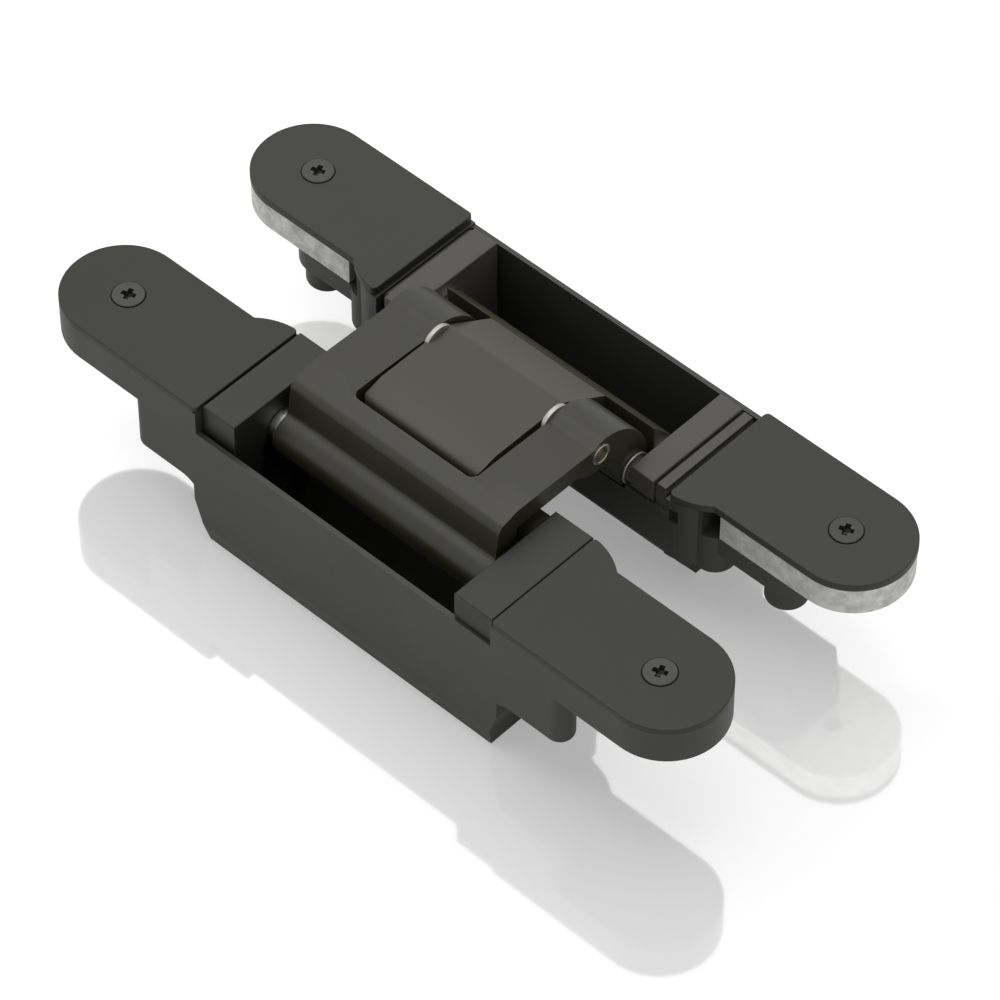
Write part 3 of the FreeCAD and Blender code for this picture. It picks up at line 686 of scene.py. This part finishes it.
def screw_nodes():
    """A row of countersunk screws: a disc grown upward in layers, with a cross cut into its head."""
    group, given, result = geometry_group("Countersunk screws", [
        ("Head Radius", "Float"), ("Shank Radius", "Float"), ("Shank Length", "Float"),
        ("Cone Height", "Float"), ("Stand", "Float"), ("Lip", "Float"), ("Recess Length", "Float"),
        ("Recess Width", "Float"), ("Recess Depth", "Float"), ("Hub Radius", "Float"),
        ("Turn", "Float"), ("Sides", "Int"), ("First X", "Float"), ("Spacing", "Float"),
        ("Row Y", "Float"), ("Level", "Float"), ("Count", "Int"), ("Material", "Material")])
    disc = step(group, "GeometryNodeMeshCircle",
                {"Vertices": given["Sides"], "Radius": given["Shank Radius"]}, fill_type="NGON")
    foot = step(group, "GeometryNodeFlipFaces", {"Mesh": disc.outputs[0]})
    rim = maths(group, "SUBTRACT", maths(group, "ADD", given["Stand"], HEAD_LAND), given["Lip"])
    crown = maths(group, "SUBTRACT", given["Head Radius"], given["Lip"])
    layers = (
        (given["Shank Length"], given["Shank Radius"]), (given["Cone Height"], given["Head Radius"]),
        (rim, given["Head Radius"]), (given["Lip"], crown))
    body = disc.outputs[0]
    top = None
    radius = given["Shank Radius"]
    height = 0.0
    for rise, reach in layers:
        inputs = {"Mesh": body, "Offset Scale": rise, "Individual": False}
        if top is not None:
            inputs["Selection"] = top
        grown = step(group, "GeometryNodeExtrudeMesh", inputs, mode="FACES")
        top = grown.outputs["Top"]
        ratio = maths(group, "DIVIDE", reach, radius)
        body = step(group, "GeometryNodeScaleElements",
                    {"Geometry": grown.outputs["Mesh"], "Selection": top, "Scale": ratio}).outputs[0]
        radius = reach
        height = maths(group, "ADD", rise, height)
    closed = step(group, "GeometryNodeMergeByDistance",
                  {"Geometry": joined(group, [body, foot.outputs[0]]), "Distance": 0.000002})
    sunk = maths(group, "SUBTRACT", given["Stand"], height)
    screw = step(group, "GeometryNodeTransform",
                 {"Geometry": closed.outputs[0], "Translation": vector(group, 0.0, 0.0, sunk)})

    tall = maths(group, "MULTIPLY", given["Recess Depth"], 2.0)
    arm = step(group, "GeometryNodeMeshCube",
               {"Size": vector(group, given["Recess Length"], given["Recess Width"], tall)})
    tools = []
    for quarter in (0.0, math.pi / 2.0):
        angle = maths(group, "ADD", given["Turn"], quarter)
        tools.append(step(group, "GeometryNodeTransform",
                          {"Geometry": arm.outputs[0], "Rotation": vector(group, 0.0, 0.0, angle),
                           "Translation": vector(group, 0.0, 0.0, given["Stand"])}).outputs[0])
    deep = maths(group, "ADD", given["Recess Depth"], 0.0006)
    hub = step(group, "GeometryNodeMeshCone",
               {"Vertices": 24, "Radius Top": given["Hub Radius"], "Radius Bottom": 0.0002, "Depth": deep})
    bottom = maths(group, "SUBTRACT", maths(group, "ADD", given["Stand"], 0.0002), deep)
    tools.append(step(group, "GeometryNodeTransform",
                      {"Geometry": hub.outputs[0], "Translation": vector(group, 0.0, 0.0, bottom)}
                      ).outputs[0])
    body = screw.outputs[0]
    for tool in tools:
        body = step(group, "GeometryNodeMeshBoolean", {"Mesh 1": body, "Mesh 2": tool},
                    operation="DIFFERENCE", solver="EXACT").outputs["Mesh"]

    row = step(group, "GeometryNodeMeshLine",
               {"Count": given["Count"],
                "Start Location": vector(group, given["First X"], given["Row Y"], given["Level"]),
                "Offset": vector(group, given["Spacing"], 0.0, 0.0)}, mode="OFFSET")
    placed = step(group, "GeometryNodeInstanceOnPoints",
                  {"Points": row.outputs[0], "Instance": body})
    solid = step(group, "GeometryNodeRealizeInstances", {"Geometry": placed.outputs[0]})
    painted = step(group, "GeometryNodeSetMaterial",
                   {"Geometry": solid.outputs[0], "Material": given["Material"]})
    group.links.new(painted.outputs[0], result)
    return group


def ring_nodes():
    """Two turned rings on one axis along X: a rounded section swept round a circle."""
    group, given, result = geometry_group("Turned rings", [
        ("Near", "Float"), ("Right End", "Float"), ("Left End", "Float"), ("Outer Radius", "Float"),
        ("Bore Radius", "Float"), ("Chamfer", "Float"), ("Round Steps", "Int"), ("Sides", "Int"),
        ("Centre Y", "Float"), ("Centre Z", "Float"), ("Material", "Material")])
    middle = maths(group, "MULTIPLY", maths(group, "ADD", given["Outer Radius"], given["Bore Radius"]), 0.5)
    thick = maths(group, "SUBTRACT", given["Outer Radius"], given["Bore Radius"])
    sweep = step(group, "GeometryNodeCurvePrimitiveCircle",
                 {"Resolution": given["Sides"], "Radius": middle}, mode="RADIUS")
    rings = []
    for side, reach in ((1.0, given["Right End"]), (-1.0, given["Left End"])):
        long = maths(group, "SUBTRACT", reach, given["Near"])
        outline = step(group, "GeometryNodeCurvePrimitiveQuadrilateral", {"Width": thick, "Height": long})
        soft = step(group, "GeometryNodeFilletCurve",
                    {"Curve": outline.outputs[0], "Count": given["Round Steps"], "Radius": given["Chamfer"],
                     "Limit Radius": True}, mode="POLY")
        ring = step(group, "GeometryNodeCurveToMesh",
                    {"Curve": sweep.outputs[0], "Profile Curve": soft.outputs[0]})
        half = maths(group, "MULTIPLY", maths(group, "ADD", reach, given["Near"]), 0.5 * side)
        rings.append(step(group, "GeometryNodeTransform",
                          {"Geometry": ring.outputs[0], "Rotation": (0.0, math.pi / 2.0, 0.0),
                           "Translation": vector(group, half, given["Centre Y"], given["Centre Z"])}
                          ).outputs[0])
    solid = step(group, "GeometryNodeRealizeInstances", {"Geometry": joined(group, rings)})
    painted = step(group, "GeometryNodeSetMaterial",
                   {"Geometry": solid.outputs[0], "Material": given["Material"]})
    group.links.new(painted.outputs[0], result)
    return group


GEOMETRY_MAKERS = {"Countersunk screws": screw_nodes, "Turned rings": ring_nodes}


def grown_piece(node, group_name, values):
    """A piece made by a geometry node group, in place of one CAD node."""
    group = bpy.data.node_groups.get(group_name) or GEOMETRY_MAKERS[group_name]()
    piece = link(node + "_finish", bpy.data.meshes.new(node + "_grown"))
    modifier = piece.modifiers.new(group_name, "NODES")
    modifier.node_group = group
    sockets = {item.name: item.identifier for item in group.interface.items_tree
               if item.item_type == "SOCKET" and item.in_out == "INPUT"}
    for name, value in values.items():
        modifier[sockets[name]] = value
    modifier[sockets["Material"]] = finish_of(node)
    apply_modifiers(piece)
    smooth_by_angle(piece.data, GROWN_SMOOTH_ANGLE)
    one_material(piece, node)
    return piece


# Shapes where the photo is finer than the solids
def end_fill(side):
    """A wedge by which an end of the deep box runs out smoothly below its step."""
    outer_y = -37.1
    top = -25.5
    low = -31.0
    step_x = 38.4
    low_x = 36.58
    outline = [(outer_y, top), (outer_y, low), (-16.4, low), (-12.8, top)]
    piece = prism(outline, side * 36.4, side * step_x)
    for vert in piece.data.vertices:
        if abs(vert.co.x) > 0.038 and vert.co.z < (COVER_LEVEL + low + 0.1) / 1000.0:
            vert.co.x = side * low_x / 1000.0
    return piece


def column_top(side):
    """The rounded inner half of a column top in body B."""
    top = -DROP_B - 1.98
    whole = column(4.38, side * 43.3, 16.3, top - 5.5, top)
    middle = side * 46.5
    outer_half = block(middle - 3.0, middle + 3.0, 5.0, 25.0, -20.0, 0.0)
    return combined(whole, [outer_half], "DIFFERENCE")


def housing_a_shape():
    return tidied(combined(merged_copy("housing_a"), [end_fill(-1), end_fill(1)], "UNION"))


def housing_b_shape():
    """The cast body with rounded column tops and a square notch low in the right column."""
    body = combined(merged_copy("housing_b"), [column_top(-1), column_top(1)], "UNION")
    notch = block(37.3, 39.3, 8.0, 11.2, -DROP_B - 7.6, -DROP_B - 4.1)
    return tidied(combined(body, [notch], "DIFFERENCE"))


def right_block_shape(reach):
    """The right block of body A reaches a little further inward than the left one."""
    piece = merged_copy("block_a_right")
    inner = min(v.co.x for v in piece.data.vertices)
    for vert in piece.data.vertices:
        if vert.co.x < inner + 0.0005:
            vert.co.x -= reach
    return piece


def right_strip_shape():
    """The right strip is as long as its block and slopes down towards the cover."""
    fall = 0.0008
    nearer = 0.0010
    farther = 0.0020
    piece = merged_copy("guide_strip_b_right")
    points = [v.co.copy() for v in piece.data.vertices]
    outer = max(p.x for p in points)
    top = max(p.z for p in points)
    near = min(p.y for p in points)
    far = max(p.y for p in points)
    for vert, point in zip(piece.data.vertices, points):
        if point.x > outer - 0.0003 and point.z > top - 0.001:
            vert.co.z -= fall
        if point.y < near + 0.001:
            vert.co.y -= nearer
        if point.y > far - 0.001:
            vert.co.y += farther
    return piece


def left_strip_shape():
    """The left strip falls away from its block towards the cover."""
    width = 0.00155
    lift = 0.0006
    rise = 0.0013
    piece = merged_copy("guide_strip_b_left")
    outer = min(v.co.x for v in piece.data.vertices)
    top = max(v.co.z for v in piece.data.vertices)
    for vert in piece.data.vertices:
        if vert.co.z > top - 0.001:
            vert.co.z += lift + rise * (vert.co.x - outer) / width
    return piece


def u_arm_shape(arms):
    """The arm with a window: a barrelled bar in front and two legs that rise to a crest."""
    front = arms.window_y
    corner = arms.window_corner
    crest = [(1.4, 4.95), (2.4, 5.2), (3.4, 5.72), (4.3, 5.92), (5.6, 5.9), (7.1, 5.62), (8.5, 5.15),
             (10.3, 4.2), (11.9, 2.95), (13.5, 1.3), (14.8, -0.5), (15.8, -2.6), (16.3, -4.8)]
    under = [(8.2, -4.4), (6.4, -1.9), (4.2, -1.3), (2.0, -1.2), (-0.4, -0.4), (-2.4, 1.0)]
    leg = [(front - 0.3, 5.3), (front, 5.42), (-12.0, 5.35)] + crest
    leg += arc(AXIS_B, EAR, 25, -185, 24) + under + [(front - 0.3, 1.0)]
    bar = [(front, 5.42)] + arc((front - 2.65, 2.35), 2.3, 101, 180, 12)
    bar += [(front - 5.7, -2.4), (front - 5.8, -2.8), (front - 6.05, -3.1)]
    bar += arc(SLOT_A, arms.barrel, 105, 372, 44) + [(front - 0.7, -2.0), (front, 1.0)]
    parts = [prism(leg, arms.window, arms.half), prism(leg, -arms.half, -arms.window)]
    for side in (-1, 1):
        inner = side * (arms.window - corner)
        outer = side * arms.window
        piece = block(min(inner, outer), max(inner, outer), front - 0.01, front + corner, 1.0, 5.38)
        parts.append(combined(piece, [column(corner, inner, front + corner, -2.0, 8.0)], "DIFFERENCE"))
    arm = combined(prism(bar, -arms.half, arms.half), parts, "UNION")
    collar = arms.half + PIN_STAND - COLLAR_ROOM - COLLAR_LENGTH
    bores = [rod(PIN_BORE, -THROUGH, THROUGH, AXIS_C), rod(COLLAR_BORE, collar, THROUGH, AXIS_C),
             rod(COLLAR_BORE, -THROUGH, -collar, AXIS_C), rod(PIN_BORE, -THROUGH, THROUGH, AXIS_B),
             rod(SLOT_PIN_BORE, -THROUGH, THROUGH, SLOT_A)]
    return tidied(combined(arm, bores, "DIFFERENCE"))


def tip_corners(arms, right):
    """What is taken off the two front corners of the tongue."""
    corner = arms.tip_corner
    tip = arms.tip_y
    pieces = []
    for side, reach in ((-1, arms.tongue), (1, right)):
        inner = side * (reach - corner)
        outer = side * (reach + 1.0)
        piece = block(min(inner, outer), max(inner, outer), tip - 1.0, tip + corner, -12.0, 8.0)
        pieces.append(combined(piece, [column(corner, inner, tip + corner, -14.0, 10.0)], "DIFFERENCE"))
    return pieces


def t_arm_shape(arms):
    """The arm with a tongue and a wing: it passes through the window of the other."""
    tip = arms.tip_y
    tongue = [(tip + 5.3, 4.95)] + arc((tip + 2.1, 2.0), 2.1, 93, 180, 10) + [(tip + 0.1, -4.0)]
    tongue += arc(AXIS_A, TUBE, 170, 300, 18)
    tongue += [(-5.6, -6.6), (-2.0, -3.2), (1.2, -1.7), (5.0, -1.6), (8.0, -3.0), (11.2, -5.0),
               (14.6, -5.6), (17.6, -6.3), (19.3, -8.0), (19.5, -3.8), (18.9, -2.8), (18.4, -2.45),
               (7.6, 4.4), (6.9, 4.8), (6.0, 5.0)]
    wing = [(18.35, -2.35), (18.9, -2.8)] + arc(SLOT_B, WING_END, 35, -180, 24) + [(18.35, -9.5)]
    right = arms.tongue - arms.play
    body = combined(prism(tongue, -arms.tongue, right), tip_corners(arms, right), "DIFFERENCE")
    sides = [prism(wing, -arms.half, arms.half), rod(TUBE, -arms.half, arms.half, AXIS_A)]
    arm = combined(body, sides, "UNION")
    bores = [rod(WASHER_SINK, -THROUGH, -arms.tongue + 0.5, AXIS_C),
             rod(PIN_BORE, -THROUGH, THROUGH, AXIS_C), rod(PIN_BORE, -THROUGH, THROUGH, AXIS_A),
             rod(SLOT_PIN_BORE, -THROUGH, THROUGH, SLOT_B)]
    return tidied(combined(arm, bores, "DIFFERENCE"))


def centre_pin_shape(arms):
    """The bright pin: a collar on each end, with a bore in it."""
    end = arms.half + PIN_STAND
    collar = end - COLLAR_LENGTH
    deep = end - arms.bore_depth
    sleeves = [rod(COLLAR, collar, end, AXIS_C), rod(COLLAR, -end, -collar, AXIS_C)]
    pin = combined(rod(PIN_CORE, -end + 0.3, end - 0.3, AXIS_C), sleeves, "UNION")
    bores = [rod(arms.bore_radius, deep, THROUGH, AXIS_C), rod(arms.bore_radius, -THROUGH, -deep, AXIS_C)]
    return tidied(combined(pin, bores, "DIFFERENCE"))


# Operators, one for each group of pieces
class HINGE_OT_cast_bodies(bpy.types.Operator):
    """Finish the two cast bodies with soft edges and the black coating"""
    bl_idname = "hinge.cast_bodies"
    bl_label = "Cast bodies"

    def execute(self, context):
        edges = context.scene.hinge_edges
        finished(housing_a_shape(), "housing_a", edges.cast, edges.steps)
        finished(housing_b_shape(), "housing_b", edges.cast, edges.steps)
        return {"FINISHED"}


class HINGE_OT_cover_plates(bpy.types.Operator):
    """Finish the four cover plates"""
    bl_idname = "hinge.cover_plates"
    bl_label = "Cover plates"

    def execute(self, context):
        edges = context.scene.hinge_edges
        for node in COVERS:
            finished(merged_copy(node), node, edges.plate, edges.steps)
        return {"FINISHED"}


class HINGE_OT_zinc_plates(bpy.types.Operator):
    """Finish the two bare zinc plates under the covers of body B"""
    bl_idname = "hinge.zinc_plates"
    bl_label = "Zinc plates"

    def execute(self, context):
        edges = context.scene.hinge_edges
        for node in ZINC_PLATES:
            finished(merged_copy(node), node, edges.plate, edges.steps)
        return {"FINISHED"}


class HINGE_OT_guide_blocks(bpy.types.Operator):
    """Finish the guide blocks and the strips beside them"""
    bl_idname = "hinge.guide_blocks"
    bl_label = "Guide blocks"

    def execute(self, context):
        edges = context.scene.hinge_edges
        reach = context.scene.hinge_arms.block_reach / 1000.0
        for node in PLAIN_BLOCKS:
            finished(merged_copy(node), node, edges.block, edges.steps)
        finished(right_strip_shape(), "guide_strip_b_right", edges.pin, edges.steps)
        finished(right_block_shape(reach), "block_a_right", edges.block, edges.steps)
        finished(left_strip_shape(), "guide_strip_b_left", edges.pin, edges.steps)
        return {"FINISHED"}


class HINGE_OT_arms(bpy.types.Operator):
    """Shape and finish the two crossed arms"""
    bl_idname = "hinge.arms"
    bl_label = "Arms"

    def execute(self, context):
        edges = context.scene.hinge_edges
        arms = context.scene.hinge_arms
        finished(u_arm_shape(arms), "u_arm", edges.arm, edges.steps)
        finished(t_arm_shape(arms), "t_arm", edges.arm, edges.steps)
        return {"FINISHED"}


class HINGE_OT_pins(bpy.types.Operator):
    """Finish the five pins; the centre pin has a bore in each end"""
    bl_idname = "hinge.pins"
    bl_label = "Pins"

    def execute(self, context):
        edges = context.scene.hinge_edges
        for node in PLAIN_PINS:
            finished(merged_copy(node), node, edges.pin, 1)
        finished(centre_pin_shape(context.scene.hinge_arms), "centre_pin", CENTRE_PIN_EDGE, 1)
        return {"FINISHED"}


class HINGE_OT_rings(bpy.types.Operator):
    """Finish the bushes, spacers and washers"""
    bl_idname = "hinge.rings"
    bl_label = "Bushes and washers"

    def execute(self, context):
        rings = context.scene.hinge_rings
        reach = context.scene.hinge_arms.block_reach / 1000.0
        for node in RINGS:
            points = [v.co for v in frame["nodes"][node].data.vertices]
            mid_y = sum(pick(p.y for p in points) for pick in (min, max)) / 2.0
            mid_z = sum(pick(p.z for p in points) for pick in (min, max)) / 2.0
            radii = [math.hypot(p.y - mid_y, p.z - mid_z) for p in points]
            right_end = max(p.x for p in points)
            if node in RINGS_AT_RIGHT_BLOCK:
                right_end -= reach
            piece = grown_piece(node, "Turned rings", {
                "Near": min(abs(p.x) for p in points), "Right End": right_end,
                "Left End": -min(p.x for p in points), "Outer Radius": max(radii),
                "Bore Radius": min(radii), "Chamfer": rings.chamfer, "Round Steps": rings.round_steps,
                "Sides": rings.sides, "Centre Y": mid_y, "Centre Z": mid_z})
            hand_over(piece, node)
        return {"FINISHED"}


class HINGE_OT_cover_screws(bpy.types.Operator):
    """Finish the four cover screws"""
    bl_idname = "hinge.cover_screws"
    bl_label = "Cover screws"

    def execute(self, context):
        screw = context.scene.hinge_screw
        for node in SCREWS:
            points = [v.co for v in frame["nodes"][node].data.vertices]
            top = max(p.z for p in points)
            low = min(p.z for p in points)
            right = max(p.x for p in points)
            near = min(p.y for p in points)
            head = (max(p.y for p in points) - near) / 2.0
            shank_length = top - low - screw.stand - HEAD_LAND - screw.cone
            piece = grown_piece(node, "Countersunk screws", {
                "Head Radius": head, "Shank Radius": screw.shank, "Shank Length": shank_length,
                "Cone Height": screw.cone, "Stand": screw.stand, "Lip": screw.lip,
                "Recess Length": screw.slot_length, "Recess Width": screw.slot_width,
                "Recess Depth": screw.slot_depth, "Hub Radius": screw.hub, "Turn": screw.turn,
                "Sides": screw.sides, "First X": head - right, "Spacing": 2.0 * (right - head),
                "Row Y": near + head, "Level": top - screw.stand, "Count": 2})
            rounded(piece, context.scene.hinge_edges.pin, 2)
            one_material(piece, node)
            hand_over(piece, node)
        return {"FINISHED"}


def backdrop_material(stage):
    """Pale floor. To the camera it is white, with a faint mirror image and the object's shadow."""
    material, tree, shader = fresh_material("Pale floor")
    shader.inputs["Base Color"].default_value = tuple(stage.floor_colour) + (1.0,)
    shader.inputs["Roughness"].default_value = 0.9
    shader.inputs["Specular IOR Level"].default_value = 0.0
    white = tree.nodes.new("ShaderNodeEmission")
    white.inputs["Strength"].default_value = stage.floor_white
    soft = tree.nodes.new("ShaderNodeBsdfDiffuse")
    soft.inputs["Color"].default_value = (stage.floor_shadow,) * 3 + (1.0,)
    mirror = tree.nodes.new("ShaderNodeBsdfGlossy")
    mirror.inputs["Color"].default_value = (stage.floor_gloss,) * 3 + (1.0,)
    mirror.inputs["Roughness"].default_value = stage.floor_rough
    first = tree.nodes.new("ShaderNodeAddShader")
    second = tree.nodes.new("ShaderNodeAddShader")
    path = tree.nodes.new("ShaderNodeLightPath")
    choice = tree.nodes.new("ShaderNodeMixShader")
    tree.links.new(white.outputs[0], first.inputs[0])
    tree.links.new(soft.outputs[0], first.inputs[1])
    tree.links.new(first.outputs[0], second.inputs[0])
    tree.links.new(mirror.outputs[0], second.inputs[1])
    tree.links.new(path.outputs["Is Camera Ray"], choice.inputs["Fac"])
    tree.links.new(shader.outputs[0], choice.inputs[1])
    tree.links.new(second.outputs[0], choice.inputs[2])
    tree.links.new(choice.outputs[0], tree.nodes["Material Output"].inputs["Surface"])
    return material


def plain_surround(stage):
    """White to the camera and in mirror images, softer as a light on the object."""
    world = bpy.data.worlds.new("Plain surround")
    world.use_nodes = True
    tree = world.node_tree
    light = tree.nodes["Background"]
    light.inputs["Color"].default_value = (1.0, 1.0, 1.0, 1.0)
    light.inputs["Strength"].default_value = stage.world
    seen = tree.nodes.new("ShaderNodeBackground")
    seen.inputs["Color"].default_value = (1.0, 1.0, 1.0, 1.0)
    seen.inputs["Strength"].default_value = 1.0
    path = tree.nodes.new("ShaderNodeLightPath")
    near = maths(tree, "MAXIMUM", path.outputs["Is Camera Ray"], path.outputs["Is Glossy Ray"])
    clear = maths(tree, "MAXIMUM", near, path.outputs["Is Transmission Ray"])
    both = tree.nodes.new("ShaderNodeMixShader")
    tree.links.new(clear, both.inputs["Fac"])
    tree.links.new(light.outputs[0], both.inputs[1])
    tree.links.new(seen.outputs[0], both.inputs[2])
    tree.links.new(both.outputs[0], tree.nodes["World Output"].inputs["Surface"])
    return world


def area_lamp(name, place, aim, size, power):
    data = bpy.data.lights.new(name, "AREA")
    data.shape = "RECTANGLE"
    data.size, data.size_y = size
    data.energy = power
    lamp = bpy.data.objects.new(name, data)
    lamp.location = place
    lamp.rotation_mode = "QUATERNION"
    lamp.rotation_quaternion = (aim - place).to_track_quat("-Z", "Y")
    bpy.context.scene.collection.objects.link(lamp)


def photo_camera(lens):
    """The camera as it stood for the photo, from the fit of the hinge's corners."""
    data = bpy.data.cameras.new("Camera")
    data.sensor_width = 36.0
    data.lens = lens
    data.clip_start = 0.05
    data.clip_end = 20.0
    camera = bpy.data.objects.new("Camera", data)
    bpy.context.scene.collection.objects.link(camera)
    place = Vector((0.45873, -0.48497, 0.76783))
    right = Vector((0.72995, 0.68350, 0.0))
    up = Vector((-0.51317, 0.54804, 0.66053))
    turn = Matrix((right, up, right.cross(up))).transposed().to_4x4()
    camera.matrix_world = Matrix.Translation(place) @ turn
    return camera


class HINGE_OT_stage(bpy.types.Operator):
    """Add the pale floor, the soft lamps, the surround and the camera"""
    bl_idname = "hinge.stage"
    bl_label = "Stage"

    def execute(self, context):
        scene = context.scene
        stage = scene.hinge_stage
        work = bmesh.new()
        bmesh.ops.create_grid(work, x_segments=1, y_segments=1, size=3.0)
        floor = link("floor", released(work, "floor"))
        floor.data.materials.append(backdrop_material(stage))

        scene.world = plain_surround(stage)
        aim = Vector((0.0, 0.0, 0.02))
        area_lamp("Key", Vector((-0.1, 0.0, 0.9)), aim, (0.8, 0.8), stage.key_power)
        area_lamp("Side", Vector((-0.8, -0.25, 0.35)), aim, (0.5, 0.5), stage.side_power)
        area_lamp("Back", Vector((-0.6, 0.6, 0.7)), aim, (0.7, 0.5), stage.back_power)

        scene.camera = photo_camera(stage.lens)
        scene.view_settings.view_transform = "Standard"
        return {"FINISHED"}


class HINGE_PT_panel(bpy.types.Panel):
    """Buttons for each group of pieces"""
    bl_idname = "HINGE_PT_panel"
    bl_label = "Concealed hinge"
    bl_space_type = "VIEW_3D"
    bl_region_type = "UI"
    bl_category = "Hinge"

    def draw(self, context):
        for operator in OPERATORS:
            self.layout.operator(operator.bl_idname)
        for group in SETTINGS:
            box = self.layout.box()
            settings = getattr(context.scene, group)
            for item in settings.bl_rna.properties:
                if item.identifier not in {"rna_type", "name"}:
                    box.prop(settings, item.identifier)


OPERATORS = (
    HINGE_OT_cast_bodies, HINGE_OT_cover_plates, HINGE_OT_zinc_plates, HINGE_OT_guide_blocks,
    HINGE_OT_arms, HINGE_OT_pins, HINGE_OT_rings, HINGE_OT_cover_screws, HINGE_OT_stage,
)
SETTINGS = {
    "hinge_coating": HingeCoating,
    "hinge_edges": HingeEdges,
    "hinge_screw": HingeScrew,
    "hinge_rings": HingeRings,
    "hinge_arms": HingeArms,
    "hinge_stage": HingeStage,
}


def register():
    for group in SETTINGS.values():
        bpy.utils.register_class(group)
    for name, group in SETTINGS.items():
        setattr(bpy.types.Scene, name, PointerProperty(type=group))
    for item in OPERATORS + (HINGE_PT_panel,):
        bpy.utils.register_class(item)


def unregister():
    for item in reversed(OPERATORS + (HINGE_PT_panel,)):
        bpy.utils.unregister_class(item)
    for name in SETTINGS:
        delattr(bpy.types.Scene, name)
    for group in reversed(list(SETTINGS.values())):
        bpy.utils.unregister_class(group)


def main():
    register()
    for operator in OPERATORS:
        module, name = operator.bl_idname.split(".")
        getattr(getattr(bpy.ops, module), name)()


if __name__ == "__main__":
    main()
